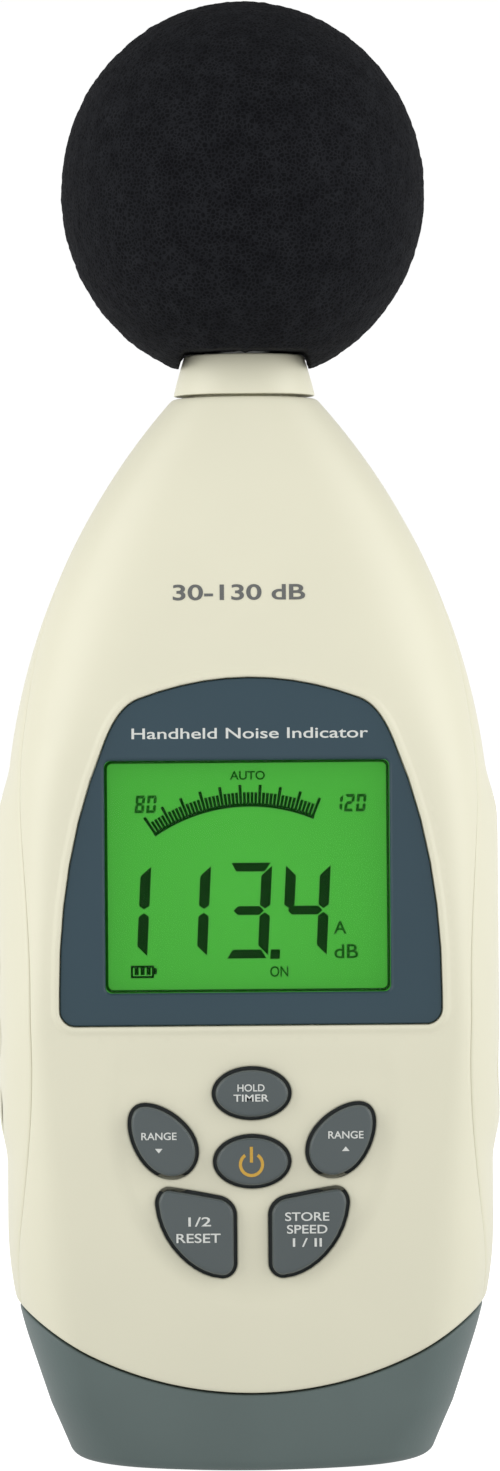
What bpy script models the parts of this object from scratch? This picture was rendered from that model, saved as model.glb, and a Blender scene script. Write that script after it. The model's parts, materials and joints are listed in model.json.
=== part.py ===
"""Hand-held sound level meter with a foam windscreen, an LCD and six keys.

Lengths in this file are millimetres; mesh_object() turns them into Blender's metres. +Z runs up the
meter, its face looks along -Y, and the origin is in the middle of the foot that it stands on.
"""

from math import acos, asin, cos, pi, radians, sin, sqrt, tan

import bmesh
import bpy
from mathutils import Matrix, Vector

MM = 0.001
GAP = 0.3  # clearance between neighbouring solids
PARTING_GAP = 0.8  # between the two shells

# Body
HEIGHT = 236.0
BODY_TOP = 172.0
HALF_WIDTH = 39.4
HALF_DEPTH = 19.0
NECK_HALF_DEPTH = 11.5
SHOULDER_Z = 100.2  # the sides are straight below this
SHOULDER_RADIUS = 107.4
FRONT_SHOULDER_Z = 124.0
FOOT_BEND_Z = 41.2  # the sides turn inwards below this
FOOT_BEND_RADIUS = 47.9
FOOT_TAPER = radians(17.5)
FOOT_DEPTH_TAPER = 3.0
FOOT_DEPTH_Z = 27.0  # the front and back lean inwards below this
FOOT_EDGE_RADIUS = 2.8
WALL = 2.4
CORNER_POWER = 2.3  # superellipse exponent of the body's long corners
GRIP_BULGE = 0.8
GRIP_REACH = 18.1  # how far the grips of the rear shell come forward of the middle
GRIP_MIDDLE_Z = 70.7
# Half width of the flat front, and of the flat back, at each height; rounded corners begin outside it.
FRONT_FLAT = [
    (0, 17), (14, 25), (43, 28), (70, 31.6), (80, 31.2), (100, 28.6), (114, 24.7),
    (124, 17.5), (133, 11), (146, 5), (160, 2), (172, 0.8),
]
BACK_FLAT = [
    (0, 19), (14, 28), (30, 31), (60, 32.5), (90, 32),
    (110, 28), (126, 19), (140, 10), (156, 3), (172, 0.8),
]
# The grey boot meets the cream shells along this circle, seen from the front.
BOOT_ARC_Z = 71.3
BOOT_ARC_RADIUS = 57.6

# Display
BEZEL_FRONT = -18.9
BEZEL_BACK = -17.9
RECESS_FLOOR = BEZEL_BACK + GAP
DISPLAY_Z = 95.5
VIEW_SIZE = (44.5, 36.4)
DISPLAY_OPENING = (45.6, 37.5)
LCD_SIZE = (49.0, 44.0)

# Circuit board, in the layers behind the front wall
WALL_INSIDE = -HALF_DEPTH + WALL
BOARD_FRONT = -10.8
BOARD_BACK = -9.2
BOARD_SCREWS = [(-29.5, 37.0), (29.5, 37.0), (-22.0, 122.5), (22.0, 122.5)]
CASE_SCREWS = [(-24.0, 23.8), (24.0, 23.8), (-17.0, 131.0), (17.0, 131.0)]
CASE_BOSS_END = 9.7

# Keys
KEY_TOP = -20.1
KEY_CLEARANCE = 0.45
KEY_FLANGE = 0.55

# Battery bay
CELL_RADIUS = 7.25
CELL_LENGTH = 50.5
CELL_PITCH = 14.95
CELL_BOTTOM = 35.0
CELL_Y = 9.15
BAY_HALF_WIDTH = 30.1
BAY_Z = (30.2, 87.6)
TRAY_Y = (0.4, 16.3)
TRAY_WALL = 1.1
DOOR_HALF_WIDTH = 30.0
DOOR_Z = (31.0, 87.0)
DOOR_HINGE = (17.8, 32.2)  # y and z of the axis, in the middle of the rounded lower edge

# Microphone
TUBE_RADIUS = 6.35
BORE_RADIUS = TUBE_RADIUS + GAP
COLLAR_TOP = 178.9
FOAM_HALF_WIDTH = 29.4
FOAM_HALF_HEIGHT = 30.8
FOAM_MOUTH_Z = 177.2

SIDE_PORT_Y = -3.6
SOCKET_BACK = 0.1
SIDE_WALL_INSIDE = HALF_WIDTH + GRIP_BULGE - WALL
SIDE_PORT_SETBACK = 2.0  # from the inside of the wall to the body of a socket

COLOURS = {
    "cream_plastic": ((0.76, 0.73, 0.58), 0.45, 0.0),
    "grey_plastic": ((0.11, 0.13, 0.14), 0.55, 0.0),
    "slate_plastic": ((0.055, 0.085, 0.11), 0.35, 0.0),
    "key_plastic": ((0.10, 0.12, 0.12), 0.4, 0.0),
    "clear_plastic": ((0.85, 0.9, 0.88), 0.05, 0.0),
    "display_green": ((0.07, 0.42, 0.05), 0.3, 0.0),
    "light_guide": ((0.7, 0.85, 0.6), 0.3, 0.0),
    "dark_rubber": ((0.03, 0.03, 0.03), 0.8, 0.0),
    "circuit_board": ((0.02, 0.16, 0.06), 0.5, 0.0),
    "black_plastic": ((0.02, 0.02, 0.022), 0.5, 0.0),
    "foam": ((0.01, 0.01, 0.013), 0.95, 0.0),
    "steel": ((0.55, 0.55, 0.56), 0.35, 1.0),
    "brass": ((0.65, 0.48, 0.2), 0.35, 1.0),
    "cell_jacket": ((0.12, 0.13, 0.16), 0.35, 0.3),
}


def new_collection(name):
    collection = bpy.data.collections.new(name)
    bpy.context.scene.collection.children.link(collection)
    return collection


def clear_scene():
    for obj in list(bpy.data.objects):
        bpy.data.objects.remove(obj, do_unlink=True)


clear_scene()
PARTS = new_collection("sound_level_meter")
CUTTERS = new_collection("cutters")


def make_materials():
    made = {}
    for name, (colour, roughness, metallic) in COLOURS.items():
        material = bpy.data.materials.new(name)
        material.use_nodes = True
        shader = material.node_tree.nodes["Principled BSDF"]
        shader.inputs["Base Color"].default_value = (*colour, 1)
        shader.inputs["Roughness"].default_value = roughness
        shader.inputs["Metallic"].default_value = metallic
        made[name] = material
    return made


MATERIALS = make_materials()


# ---------------------------------------------------------------- making solids


def mesh_object(name, bm, material=None):
    """A bmesh in millimetres becomes an object: a part with a material, or a hidden cutter without."""
    bmesh.ops.recalc_face_normals(bm, faces=bm.faces)
    bmesh.ops.scale(bm, vec=(MM, MM, MM), verts=bm.verts)
    mesh = bpy.data.meshes.new(name)
    bm.to_mesh(mesh)
    bm.free()
    mesh.shade_smooth()
    mesh.set_sharp_from_angle(angle=radians(35))
    obj = bpy.data.objects.new(name, mesh)
    if material:
        mesh.materials.append(MATERIALS[material])
        PARTS.objects.link(obj)
    else:
        obj.hide_render = True
        obj.display_type = "WIRE"
        CUTTERS.objects.link(obj)
    return obj


def boolean(target, other, operation):
    modifier = target.modifiers.new(f"{operation.lower()}_{other.name}", "BOOLEAN")
    modifier.operation = operation
    modifier.object = other
    modifier.solver = "EXACT"


def cut(target, *cutters):
    for cutter in cutters:
        boolean(target, cutter, "DIFFERENCE")


def join(target, *others):
    for other in others:
        boolean(target, other, "UNION")


def loft(name, rings, material=None):
    """A closed solid through rings of equally many points, with flat ends."""
    bm = bmesh.new()
    rows = [[bm.verts.new(point) for point in ring] for ring in rings]
    for lower, upper in zip(rows, rows[1:]):
        for i in range(len(lower)):
            j = (i + 1) % len(lower)
            bm.faces.new((lower[i], lower[j], upper[j], upper[i]))
    bm.faces.new(rows[0])
    bm.faces.new(rows[-1])
    return mesh_object(name, bm, material)


def plate(name, outline, y_front, y_back, material=None):
    """A flat outline of (x, z) points, extruded from one y to another."""
    return loft(name, [[(x, y, z) for x, z in outline] for y in (y_front, y_back)], material)


def box(name, low, high, material=None):
    bm = bmesh.new()
    bmesh.ops.create_cube(bm, size=1)
    size = Vector(high) - Vector(low)
    middle = (Vector(high) + Vector(low)) / 2
    bmesh.ops.scale(bm, vec=size, verts=bm.verts)
    bmesh.ops.translate(bm, vec=middle, verts=bm.verts)
    return mesh_object(name, bm, material)


AXIS_TURNS = {
    "X": Matrix.Rotation(pi / 2, 4, "Y"),
    "Y": Matrix.Rotation(-pi / 2, 4, "X"),
    "Z": Matrix.Identity(4),
}


def rod(name, axis, start, length, radius, material=None, sides=20):
    """A cylinder from start along +axis."""
    bm = bmesh.new()
    bmesh.ops.create_cone(bm, cap_ends=True, segments=sides, radius1=radius, radius2=radius, depth=length)
    bmesh.ops.translate(bm, vec=(0, 0, length / 2), verts=bm.verts)
    bmesh.ops.transform(bm, matrix=Matrix.Translation(start) @ AXIS_TURNS[axis], verts=bm.verts)
    return mesh_object(name, bm, material)


def turned(name, profile, material=None, axis="Z", at=(0, 0, 0), steps=32):
    """A profile of (radius, height) points, top to bottom down its outer side, turned by a Screw."""
    mesh = bpy.data.meshes.new(name)
    points = [(radius * MM, 0, height * MM) for radius, height in profile]
    closed = profile[0][0] > 0
    edges = [(i, i + 1) for i in range(len(points) - 1)]
    if closed:
        edges.append((len(points) - 1, 0))
    mesh.from_pydata(points, edges, [])
    obj = bpy.data.objects.new(name, mesh)
    screw = obj.modifiers.new("turn", "SCREW")
    screw.steps = steps
    screw.render_steps = steps
    screw.use_merge_vertices = True
    screw.merge_threshold = 0.00001
    screw.use_smooth_shade = True
    obj.matrix_world = Matrix.Translation(Vector(at) * MM) @ AXIS_TURNS[axis]
    if material:
        mesh.materials.append(MATERIALS[material])
        PARTS.objects.link(obj)
    else:
        obj.hide_render = True
        obj.display_type = "WIRE"
        CUTTERS.objects.link(obj)
    return obj


# ---------------------------------------------------------------- outlines seen from the front


def arc_outline(knots, steps):
    """A closed outline through knots of (x, z, heading in degrees), each pair joined by a near arc."""
    points = []
    for (x0, z0, a0), (x1, z1, a1) in zip(knots, knots[1:] + knots[:1]):
        start = Vector((x0, z0))
        end = Vector((x1, z1))
        turn = abs((a1 - a0 + 180) % 360 - 180)
        if turn < 1:
            points.append(start)
            continue
        handle = (end - start).length / (3 * cos(radians(turn) / 4) ** 2)
        lead = start + handle * Vector((cos(radians(a0)), sin(radians(a0))))
        trail = end - handle * Vector((cos(radians(a1)), sin(radians(a1))))
        count = max(2, round(steps * turn / 90))
        for i in range(count):
            t = i / count
            s = 1 - t
            points.append(s**3 * start + 3 * s * s * t * lead + 3 * s * t * t * trail + t**3 * end)
    return [tuple(point) for point in points]


def rounded_rectangle(width, height, z_middle, radius, steps=3):
    x = width / 2
    z = height / 2
    knots = [
        (-x + radius, z, 0), (x - radius, z, 0), (x, z - radius, -90), (x, -z + radius, -90),
        (x - radius, -z, 180), (-x + radius, -z, 180), (-x, -z + radius, 90), (-x, z - radius, 90),
    ]
    return [(px, pz + z_middle) for px, pz in arc_outline(knots, steps)]


def mirrored(outline):
    return [(-x, z) for x, z in reversed(outline)]


def grown(outline, distance):
    """The outline moved outwards by a distance, or inwards by a negative one."""
    area = sum(x0 * z1 - x1 * z0 for (x0, z0), (x1, z1) in zip(outline, outline[1:] + outline[:1]))
    outward = 1 if area > 0 else -1
    result = []
    for before, here, after in zip(outline[-1:] + outline[:-1], outline, outline[1:] + outline[:1]):
        incoming = (Vector(here) - Vector(before)).normalized()
        outgoing = (Vector(after) - Vector(here)).normalized()
        along = (incoming + outgoing).normalized()
        normal = outward * Vector((along.y, -along.x))
        stretch = 1 / max(0.5, incoming.dot(along))
        result.append(tuple(Vector(here) + normal * distance * stretch))
    return result


def bezel_outline():
    right = [
        (0, 127.1, 0), (17.5, 123.8, -20.5), (22.9, 117.2, -67),
        (30.6, 77, -90), (30.6, 74.1, -90), (28, 71.5, 180),
    ]
    left = [(-x, z, -heading) for x, z, heading in reversed(right[1:])]
    return arc_outline(right + left, 4)


def ellipse_outline(z_middle, half_width, half_height, sides=20):
    turn = 2 * pi / sides
    return [(half_width * cos(i * turn), z_middle + half_height * sin(i * turn)) for i in range(sides)]


def egg_outline(x_middle, z_middle, half_length, half_breadth, tilt, taper=0.16, sides=20):
    points = []
    for i in range(sides):
        along = cos(2 * pi * i / sides)
        across = sin(2 * pi * i / sides) * (1 - taper * along)
        x = half_length * along * cos(tilt) - half_breadth * across * sin(tilt)
        z = half_length * along * sin(tilt) + half_breadth * across * cos(tilt)
        points.append((x_middle + x, z_middle + z))
    return points


def wedge_outline():
    """The lower left key: straight top and inner sides, and one long curve on the outside."""
    knots = [
        (-13.0, 46.3, -9), (-5.2, 44.9, -12), (-2.5, 41.8, -90), (-2.5, 34.2, -90), (-5.0, 31.8, 175),
        (-11.6, 35.3, 134), (-15.4, 43.4, 96),
    ]
    return arc_outline(knots, 3)


LEVEL_KEY = egg_outline(-14.35, 53.8, 6.85, 4.6, radians(129))
KEYS = {
    "key_max": ellipse_outline(61.1, 6.3, 4.25),
    "key_power": ellipse_outline(50.3, 6.2, 4.3),
    "key_level_down": LEVEL_KEY,
    "key_level_up": mirrored(LEVEL_KEY),
    "key_weighting": wedge_outline(),
    "key_record": mirrored(wedge_outline()),
}


# ---------------------------------------------------------------- the body's shape


def smooth_table(table, z):
    """A smooth curve through (z, value) points: cubic pieces whose slopes are those of their neighbours."""
    slopes = []
    for i in range(len(table)):
        (z0, v0), (z1, v1) = table[max(i - 1, 0)], table[min(i + 1, len(table) - 1)]
        slopes.append((v1 - v0) / (z1 - z0))
    z = min(max(z, table[0][0]), table[-1][0])
    i = max(k for k in range(len(table) - 1) if table[k][0] <= z)
    (z0, v0), (z1, v1) = table[i], table[i + 1]
    span = z1 - z0
    t = (z - z0) / span
    return (
        v0 * (2 * t**3 - 3 * t**2 + 1)
        + slopes[i] * span * (t**3 - 2 * t**2 + t)
        + v1 * (3 * t**2 - 2 * t**3)
        + slopes[i + 1] * span * (t**3 - t**2)
    )


def arc_drop(distance, radius):
    """How far a circle of this radius falls away from its tangent."""
    return radius - sqrt(radius**2 - distance**2)


def foot_edge(z):
    return arc_drop(FOOT_EDGE_RADIUS - z, FOOT_EDGE_RADIUS) if z < FOOT_EDGE_RADIUS else 0.0


def half_width(z):
    if z > SHOULDER_Z:
        return HALF_WIDTH - arc_drop(z - SHOULDER_Z, SHOULDER_RADIUS)
    if z > FOOT_BEND_Z:
        return HALF_WIDTH
    bend_end = FOOT_BEND_Z - FOOT_BEND_RADIUS * sin(FOOT_TAPER)
    bend = arc_drop(FOOT_BEND_Z - max(z, bend_end), FOOT_BEND_RADIUS)
    return HALF_WIDTH - bend - max(bend_end - z, 0) * tan(FOOT_TAPER) - foot_edge(z)


def half_depth(z):
    if z > FRONT_SHOULDER_Z:
        rise = BODY_TOP - FRONT_SHOULDER_Z
        fall = HALF_DEPTH - NECK_HALF_DEPTH
        return HALF_DEPTH - arc_drop(z - FRONT_SHOULDER_Z, (rise**2 + fall**2) / (2 * fall))
    taper = FOOT_DEPTH_TAPER * max(0, 1 - z / FOOT_DEPTH_Z) ** 2
    return HALF_DEPTH - taper - foot_edge(z)


def grip_fullness(z):
    """1 at the middle of the side grips, falling to 0 at the top of the body."""
    return cos(pi / 2 * (z - GRIP_MIDDLE_Z) / (BODY_TOP - GRIP_MIDDLE_Z)) ** 2


def grip_bulge(z):
    return GRIP_BULGE * grip_fullness(z) ** 3


def corner_point(z, angle, inset=0.0, bulge=0.0):
    """A point of the right-hand side: angle 0 is the edge of the flat front, pi the edge of the flat back."""
    flat = smooth_table(FRONT_FLAT if cos(angle) >= 0 else BACK_FLAT, z) - foot_edge(z)
    width = half_width(z) + bulge - inset
    depth = half_depth(z) - inset
    flat = min(flat, width - 0.5)
    power = 2 / CORNER_POWER
    x = flat + (width - flat) * abs(sin(angle)) ** power
    y = -depth * abs(cos(angle)) ** power * (1 if cos(angle) >= 0 else -1)
    return x, y


def corner_angle(z, y):
    """The angle at which the body's side is at this y."""
    share = (abs(y) / half_depth(z)) ** (CORNER_POWER / 2)
    return acos(share) if y < 0 else pi - acos(share)


def body_ring(z, inset, sides=7):
    """The whole body's outline at one height."""
    right = [corner_point(z, pi * i / (2 * sides), inset) for i in range(2 * sides + 1)]
    left = [(-x, y) for x, y in reversed(right)]
    return [(x, y, z) for x, y in right + left]


def shell(name, heights, angles_at, bulge_at):
    """Half of the body as an open sheet between its two parting edges, given its wall by Solidify."""
    bm = bmesh.new()
    rows = []
    for z in heights:
        right = [corner_point(z, angle, bulge=bulge_at(z)) for angle in angles_at(z)]
        left = [(-x, y) for x, y in reversed(right)]
        rows.append([bm.verts.new((x, y, z)) for x, y in right + left])
    for lower, upper in zip(rows, rows[1:]):
        for i in range(len(lower) - 1):
            bm.faces.new((lower[i], lower[i + 1], upper[i + 1], upper[i]))
    obj = mesh_object(name, bm, "cream_plastic")
    if sum(face.area * face.normal.dot((face.center.x, face.center.y, 0)) for face in obj.data.polygons) < 0:
        obj.data.flip_normals()
    solidify = obj.modifiers.new("wall", "SOLIDIFY")
    solidify.thickness = WALL * MM
    solidify.offset = -1
    solidify.use_even_offset = True
    return obj


def arc_cylinder(name, radius):
    return rod(name, "Y", (0, -30, BOOT_ARC_Z), 60, radius, sides=120)


def make_below_arc():
    """The region under the boot's arc, which is taken off the cream shells."""
    below = box("below_arc", (-45, -28, -5), (45, 28, 34))
    cut(below, arc_cylinder("below_arc_inside", BOOT_ARC_RADIUS - GAP / 2))
    return below


SHELL_HEIGHTS = [11, 18, 25, 33, 41, 51, 62, 73, 85, 97, 107, 116, 124, 131, 138, 145, 152, 162, 172]


def parting_y(z):
    """Where the two shells meet, seen from the side."""
    return -GRIP_REACH * grip_fullness(z)


def make_front_cover(below_arc):
    def angles(z):
        edge = corner_angle(z, parting_y(z) - PARTING_GAP / 2)
        return [edge * (1 - i / 5) for i in range(6)]

    cover = shell("front_cover", SHELL_HEIGHTS, angles, lambda z: 0.0)
    cut(cover, below_arc)
    for i, (x, z) in enumerate(BOARD_SCREWS, 1):
        start = WALL_INSIDE - 0.3
        join(cover, rod(f"board_boss_{i}", "Y", (x, start, z), BOARD_FRONT - GAP - start, 3.0, sides=16))
        cut(cover, rod(f"board_boss_hole_{i}", "Y", (x, -15.6, z), 6, 1.3, sides=12))
    for i, (x, z) in enumerate(CASE_SCREWS, 1):
        start = WALL_INSIDE - 0.3
        join(cover, rod(f"case_boss_{i}", "Y", (x, start, z), CASE_BOSS_END - start, 3.4, sides=16))
        cut(cover, rod(f"case_boss_hole_{i}", "Y", (x, -2.5, z), 15, 1.55, sides=12))
    cut(cover, plate("bezel_recess", bezel_outline(), -25, RECESS_FLOOR))
    cut(cover, plate("display_opening", rounded_rectangle(*DISPLAY_OPENING, DISPLAY_Z, 1.5), -25, -13))
    for name, outline in KEYS.items():
        cut(cover, plate(f"{name}_opening", outline, -25, -13))
    return cover


def make_rear_cover(below_arc):
    def angles(z):
        edge = corner_angle(z, parting_y(z) + PARTING_GAP / 2)
        return [edge + (pi - edge) * i / 8 for i in range(9)]

    cover = shell("rear_cover", SHELL_HEIGHTS, angles, grip_bulge)
    cut(cover, below_arc)
    for i, (x, z) in enumerate(CASE_SCREWS, 1):
        start = CASE_BOSS_END + GAP
        join(cover, rod(f"rear_boss_{i}", "Y", (x, start, z), HALF_DEPTH - WALL + 0.8 - start, 4.2, sides=16))
        cut(cover, rod(f"rear_boss_hole_{i}", "Y", (x, 5, z), 20, 1.9, sides=12))
        cut(cover, rod(f"screw_sink_{i}", "Y", (x, 13.0, z), 12, 3.2, sides=16))
    bay_height = DOOR_Z[1] - DOOR_Z[0] + 2 * GAP
    bay = rounded_rectangle(2 * DOOR_HALF_WIDTH + 2 * GAP, bay_height, sum(DOOR_Z) / 2, 0.5)
    cut(cover, plate("battery_opening", bay, 12, 25))
    hinge_y, hinge_z = DOOR_HINGE
    reach = DOOR_HALF_WIDTH + 1.6
    cut(cover, rod("hinge_pocket", "X", (-reach, hinge_y, hinge_z), 2 * reach, 0.85, sides=12))
    join(cover, rod("tripod_boss", "Y", (0, 9.5, 101), HALF_DEPTH - WALL + 0.8 - 9.5, 7.5, sides=24))
    cut(cover, rod("tripod_boss_bore", "Y", (0, 10.7, 101), 12, 5.05, sides=24))
    for name, (side, z, radius) in SIDE_HOLES.items():
        start = 34 if side > 0 else -46
        cut(cover, rod(f"{name}_hole", "X", (start, SIDE_PORT_Y, z), 12, radius, sides=20))
    return cover


def make_base_boot():
    heights = [0, 0.4, 1.2, FOOT_EDGE_RADIUS, 9, 16, 23, 30]
    boot = loft("base_boot", [body_ring(z, GAP) for z in heights], "grey_plastic")
    cut(boot, arc_cylinder("boot_arc", BOOT_ARC_RADIUS + GAP / 2))
    lip_inset = WALL + 3 * GAP
    lip = loft("boot_lip", [body_ring(z, lip_inset) for z in (6, 16, 25, 33)])
    cut(lip, arc_cylinder("lip_arc", BOOT_ARC_RADIUS - 3.5))
    join(boot, lip)
    cut(boot, loft("boot_inside", [body_ring(z, lip_inset + 1.4) for z in (FOOT_EDGE_RADIUS, 12, 24, 40)]))
    for i, (x, z) in enumerate(CASE_SCREWS[:2], 1):
        cut(boot, rod(f"boot_boss_room_{i}", "Y", (x, -17.1, z), 34.2, 4.7, sides=16))
    return boot


# ---------------------------------------------------------------- display


def make_display():
    bezel = plate("display_bezel", grown(bezel_outline(), -GAP / 2), BEZEL_FRONT, BEZEL_BACK, "slate_plastic")
    cut(bezel, plate("view_opening", rounded_rectangle(*VIEW_SIZE, DISPLAY_Z, 1.0), -22, -15))
    window_size = (DISPLAY_OPENING[0] - 2 * GAP, DISPLAY_OPENING[1] - 2 * GAP)
    window = rounded_rectangle(*window_size, DISPLAY_Z, 1.2)
    plate("display_window", window, RECESS_FLOOR, -16.7, "clear_plastic")
    width, height = LCD_SIZE
    lcd_front = WALL_INSIDE + GAP + 0.2
    lcd_back = lcd_front + 1.7
    guide_back = BOARD_FRONT - GAP
    half = width / 2
    low = (-half, lcd_front, DISPLAY_Z - height / 2)
    high = (half, lcd_back, DISPLAY_Z + height / 2)
    box("lcd_panel", low, high, "display_green")
    guide_half_height = 18.6
    guide_front = lcd_back + GAP
    box(
        "lcd_backlight",
        (-half, guide_front, DISPLAY_Z - guide_half_height),
        (half, guide_back, DISPLAY_Z + guide_half_height),
        "light_guide",
    )
    for name, side in (("zebra_strip_upper", 1), ("zebra_strip_lower", -1)):
        middle = DISPLAY_Z + side * (guide_half_height + 1.6)
        box(name, (-half + 2, guide_front, middle - 1.1), (half - 2, guide_back, middle + 1.1), "dark_rubber")


# ---------------------------------------------------------------- circuit board, keys and switches


def make_screw(name, x, z, head_y, head_radius, shank_radius, length):
    """A pan-head screw driven from the back: its head is behind head_y and its shank runs forward."""
    profile = [
        (0, 1.5), (head_radius * 0.7, 1.4), (head_radius, 0.8), (head_radius, 0),
        (shank_radius, 0), (shank_radius, -length + 1), (0, -length),
    ]
    screw = turned(name, profile, "steel", axis="Y", at=(x, head_y, z), steps=16)
    depth = 1.0
    bar = head_radius * 1.1
    top = head_y + 1.5
    for suffix, (along_x, along_z) in (("a", (bar, 0.5)), ("b", (0.5, bar))):
        slot = box(
            f"{name}_slot_{suffix}",
            (x - along_x / 2, top - depth, z - along_z / 2),
            (x + along_x / 2, top + 1, z + along_z / 2),
        )
        cut(screw, slot)


def make_board():
    right = [(33, 31), (34.5, 44), (34.5, 104), (31.5, 118), (26, 130), (13, 150)]
    outline = right + mirrored(right)
    board = plate("main_board", outline, BOARD_FRONT, BOARD_BACK, "circuit_board")
    for i, (x, z) in enumerate(CASE_SCREWS[2:], 1):
        cut(board, rod(f"board_boss_room_{i}", "Y", (x, -13, z), 6, 3.9, sides=16))
    for i, (x, z) in enumerate(BOARD_SCREWS, 1):
        cut(board, rod(f"board_hole_{i}", "Y", (x, -13, z), 6, 1.4, sides=12))
        make_screw(f"board_screw_{i}", x, z, BOARD_BACK + GAP, 2.2, 1.0, 6.0)


def middle_of(outline):
    return (
        sum(x for x, _ in outline) / len(outline),
        sum(z for _, z in outline) / len(outline),
    )


def make_keys():
    for name, opening in KEYS.items():
        layers = [
            (KEY_FLANGE, -15.5),
            (KEY_FLANGE, WALL_INSIDE + GAP),
            (-KEY_CLEARANCE, WALL_INSIDE + GAP),
            (-KEY_CLEARANCE, KEY_TOP + 0.6),
            (-KEY_CLEARANCE - 0.5, KEY_TOP + 0.1),
            (-KEY_CLEARANCE - 1.4, KEY_TOP),
        ]
        rings = [[(x, y, z) for x, z in grown(opening, distance)] for distance, y in layers]
        loft(name, rings, "key_plastic")
        make_switch(name.replace("key_", "switch_"), *middle_of(opening))


def make_switch(name, x, z):
    body_front = -14.0
    body_back = BOARD_FRONT - GAP
    body = box(f"{name}_body", (x - 3, body_front, z - 3), (x + 3, body_back, z + 3), "black_plastic")
    cut(body, rod(f"{name}_bore", "Y", (x, body_front - 1, z), -body_front - 11.8 + 1, 2.05, sides=12))
    rod(f"{name}_plunger", "Y", (x, -15.2, z), 2.5, 1.75, "black_plastic", sides=12)


# ---------------------------------------------------------------- battery bay


def cell_x(i):
    return (i - 1.5) * CELL_PITCH


def make_cells():
    nub = 1.2
    for i in range(4):
        up = i % 2 == 0
        length = CELL_LENGTH
        profile = [
            (0, length), (2.6, length), (2.8, length - nub), (6.7, length - nub),
            (CELL_RADIUS, length - nub - 0.6), (CELL_RADIUS, 0.6), (6.7, 0), (0, 0),
        ]
        if not up:
            profile = [(radius, length - height) for radius, height in reversed(profile)]
        turned(f"cell_{i + 1}", profile, "cell_jacket", at=(cell_x(i), CELL_Y, CELL_BOTTOM), steps=20)


def make_tray():
    front, back = TRAY_Y
    half = BAY_HALF_WIDTH
    low, high = BAY_Z
    outer_low = (-half - TRAY_WALL, front, low - TRAY_WALL)
    outer_high = (half + TRAY_WALL, back, high + TRAY_WALL)
    tray = box("battery_tray", outer_low, outer_high, "black_plastic")
    cut(tray, box("tray_inside", (-half, front + 1.2, low), (half, back + 5, high)))


def coil_points(turns, radius_base, radius_tip, height, per_turn=8):
    count = int(turns * per_turn)
    points = []
    for i in range(count + 1):
        share = i / count
        angle = 2 * pi * i / per_turn
        radius = radius_base + (radius_tip - radius_base) * share
        points.append((radius * cos(angle), radius * sin(angle), height * share))
    return points


def make_coil(name, points):
    """A wire through the points, made a mesh so that it can be joined to its plate."""
    curve = bpy.data.curves.new(name, "CURVE")
    curve.dimensions = "3D"
    curve.bevel_depth = 0.35 * MM
    curve.bevel_resolution = 1
    curve.use_fill_caps = True
    spline = curve.splines.new("POLY")
    spline.points.add(len(points) - 1)
    for place, point in zip(spline.points, points):
        place.co = (*(Vector(point) * MM), 1)
    wire = bpy.data.objects.new(f"{name}_wire", curve)
    CUTTERS.objects.link(wire)
    evaluated = wire.evaluated_get(bpy.context.evaluated_depsgraph_get())
    bm = bmesh.new()
    bm.from_mesh(bpy.data.meshes.new_from_object(evaluated))
    bpy.data.objects.remove(wire)
    bmesh.ops.remove_doubles(bm, verts=bm.verts, dist=0.00001)
    bmesh.ops.scale(bm, vec=(1 / MM, 1 / MM, 1 / MM), verts=bm.verts)
    return mesh_object(name, bm)


def make_contact(name, cells, at_top):
    """One sprung strip at an end of the bay: a coil presses on each cell's flat end, a dimple on each nub."""
    low, high = BAY_Z
    outward = 1 if at_top else -1
    wall = (high - GAP) if at_top else (low + GAP)
    z_low, z_high = sorted((wall, wall - outward * 0.5))
    left = cell_x(min(cells)) - 5.5
    right = cell_x(max(cells)) + 5.5
    strip = box(name, (left, CELL_Y - 4.5, z_low), (right, CELL_Y + 4.5, z_high), "steel")
    for i in cells:
        nub_at_top = i % 2 == 0
        x = cell_x(i)
        inner = z_low if at_top else z_high
        cell_end = CELL_BOTTOM + CELL_LENGTH if at_top else CELL_BOTTOM
        reach = abs(cell_end - inner) - GAP
        if nub_at_top == at_top:
            start = inner - outward * reach if at_top else inner - 0.2
            pad = rod(f"{name}_dimple_{i + 1}", "Z", (x, CELL_Y, start), reach + 0.2, 2.0, sides=12)
            join(strip, pad)
            continue
        height = -outward * (reach - 0.4)
        base = inner + outward * 0.1
        points = [(x + px, CELL_Y + py, base + pz) for px, py, pz in coil_points(2.5, 4.0, 2.4, height)]
        join(strip, make_coil(f"{name}_coil_{i + 1}", points))


def make_battery_door():
    hinge_y, hinge_z = DOOR_HINGE
    radius = HALF_DEPTH - hinge_y
    top = DOOR_Z[1]
    half_round = [(hinge_y + radius * cos(pi * i / 8), hinge_z - radius * sin(pi * i / 8)) for i in range(9)]
    side = [(HALF_DEPTH, top)] + half_round + [(hinge_y - radius, top)]
    rings = [[(x, y, z) for y, z in side] for x in (-DOOR_HALF_WIDTH, DOOR_HALF_WIDTH)]
    door = loft("battery_door", rings, "cream_plastic")
    pin_reach = DOOR_HALF_WIDTH + 1.2
    join(door, rod("door_pins", "X", (-pin_reach, hinge_y, hinge_z), 2 * pin_reach, 0.6, sides=12))
    for i in range(3):
        z = top - 4 - 2.4 * i
        cut(door, rod(f"door_groove_{i + 1}", "X", (-8, HALF_DEPTH + 0.5, z), 16, 1.0, sides=12))
    # The mesh is made about the hinge line, so that the door's origin is on its joint's axis.
    origin = Vector((0, hinge_y, hinge_z)) * MM
    door.data.transform(Matrix.Translation(-origin))
    door.location = origin


# ---------------------------------------------------------------- sockets, trimmer and tripod insert

SIDE_HOLES = {
    "power_jack": (-1, 58.0, 3.8),
    "output_jack": (-1, 70.0, 3.3),
    "cal_trimmer": (-1, 81.0, 2.6),
    "usb_socket": (1, 64.0, 4.9),
}


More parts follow.
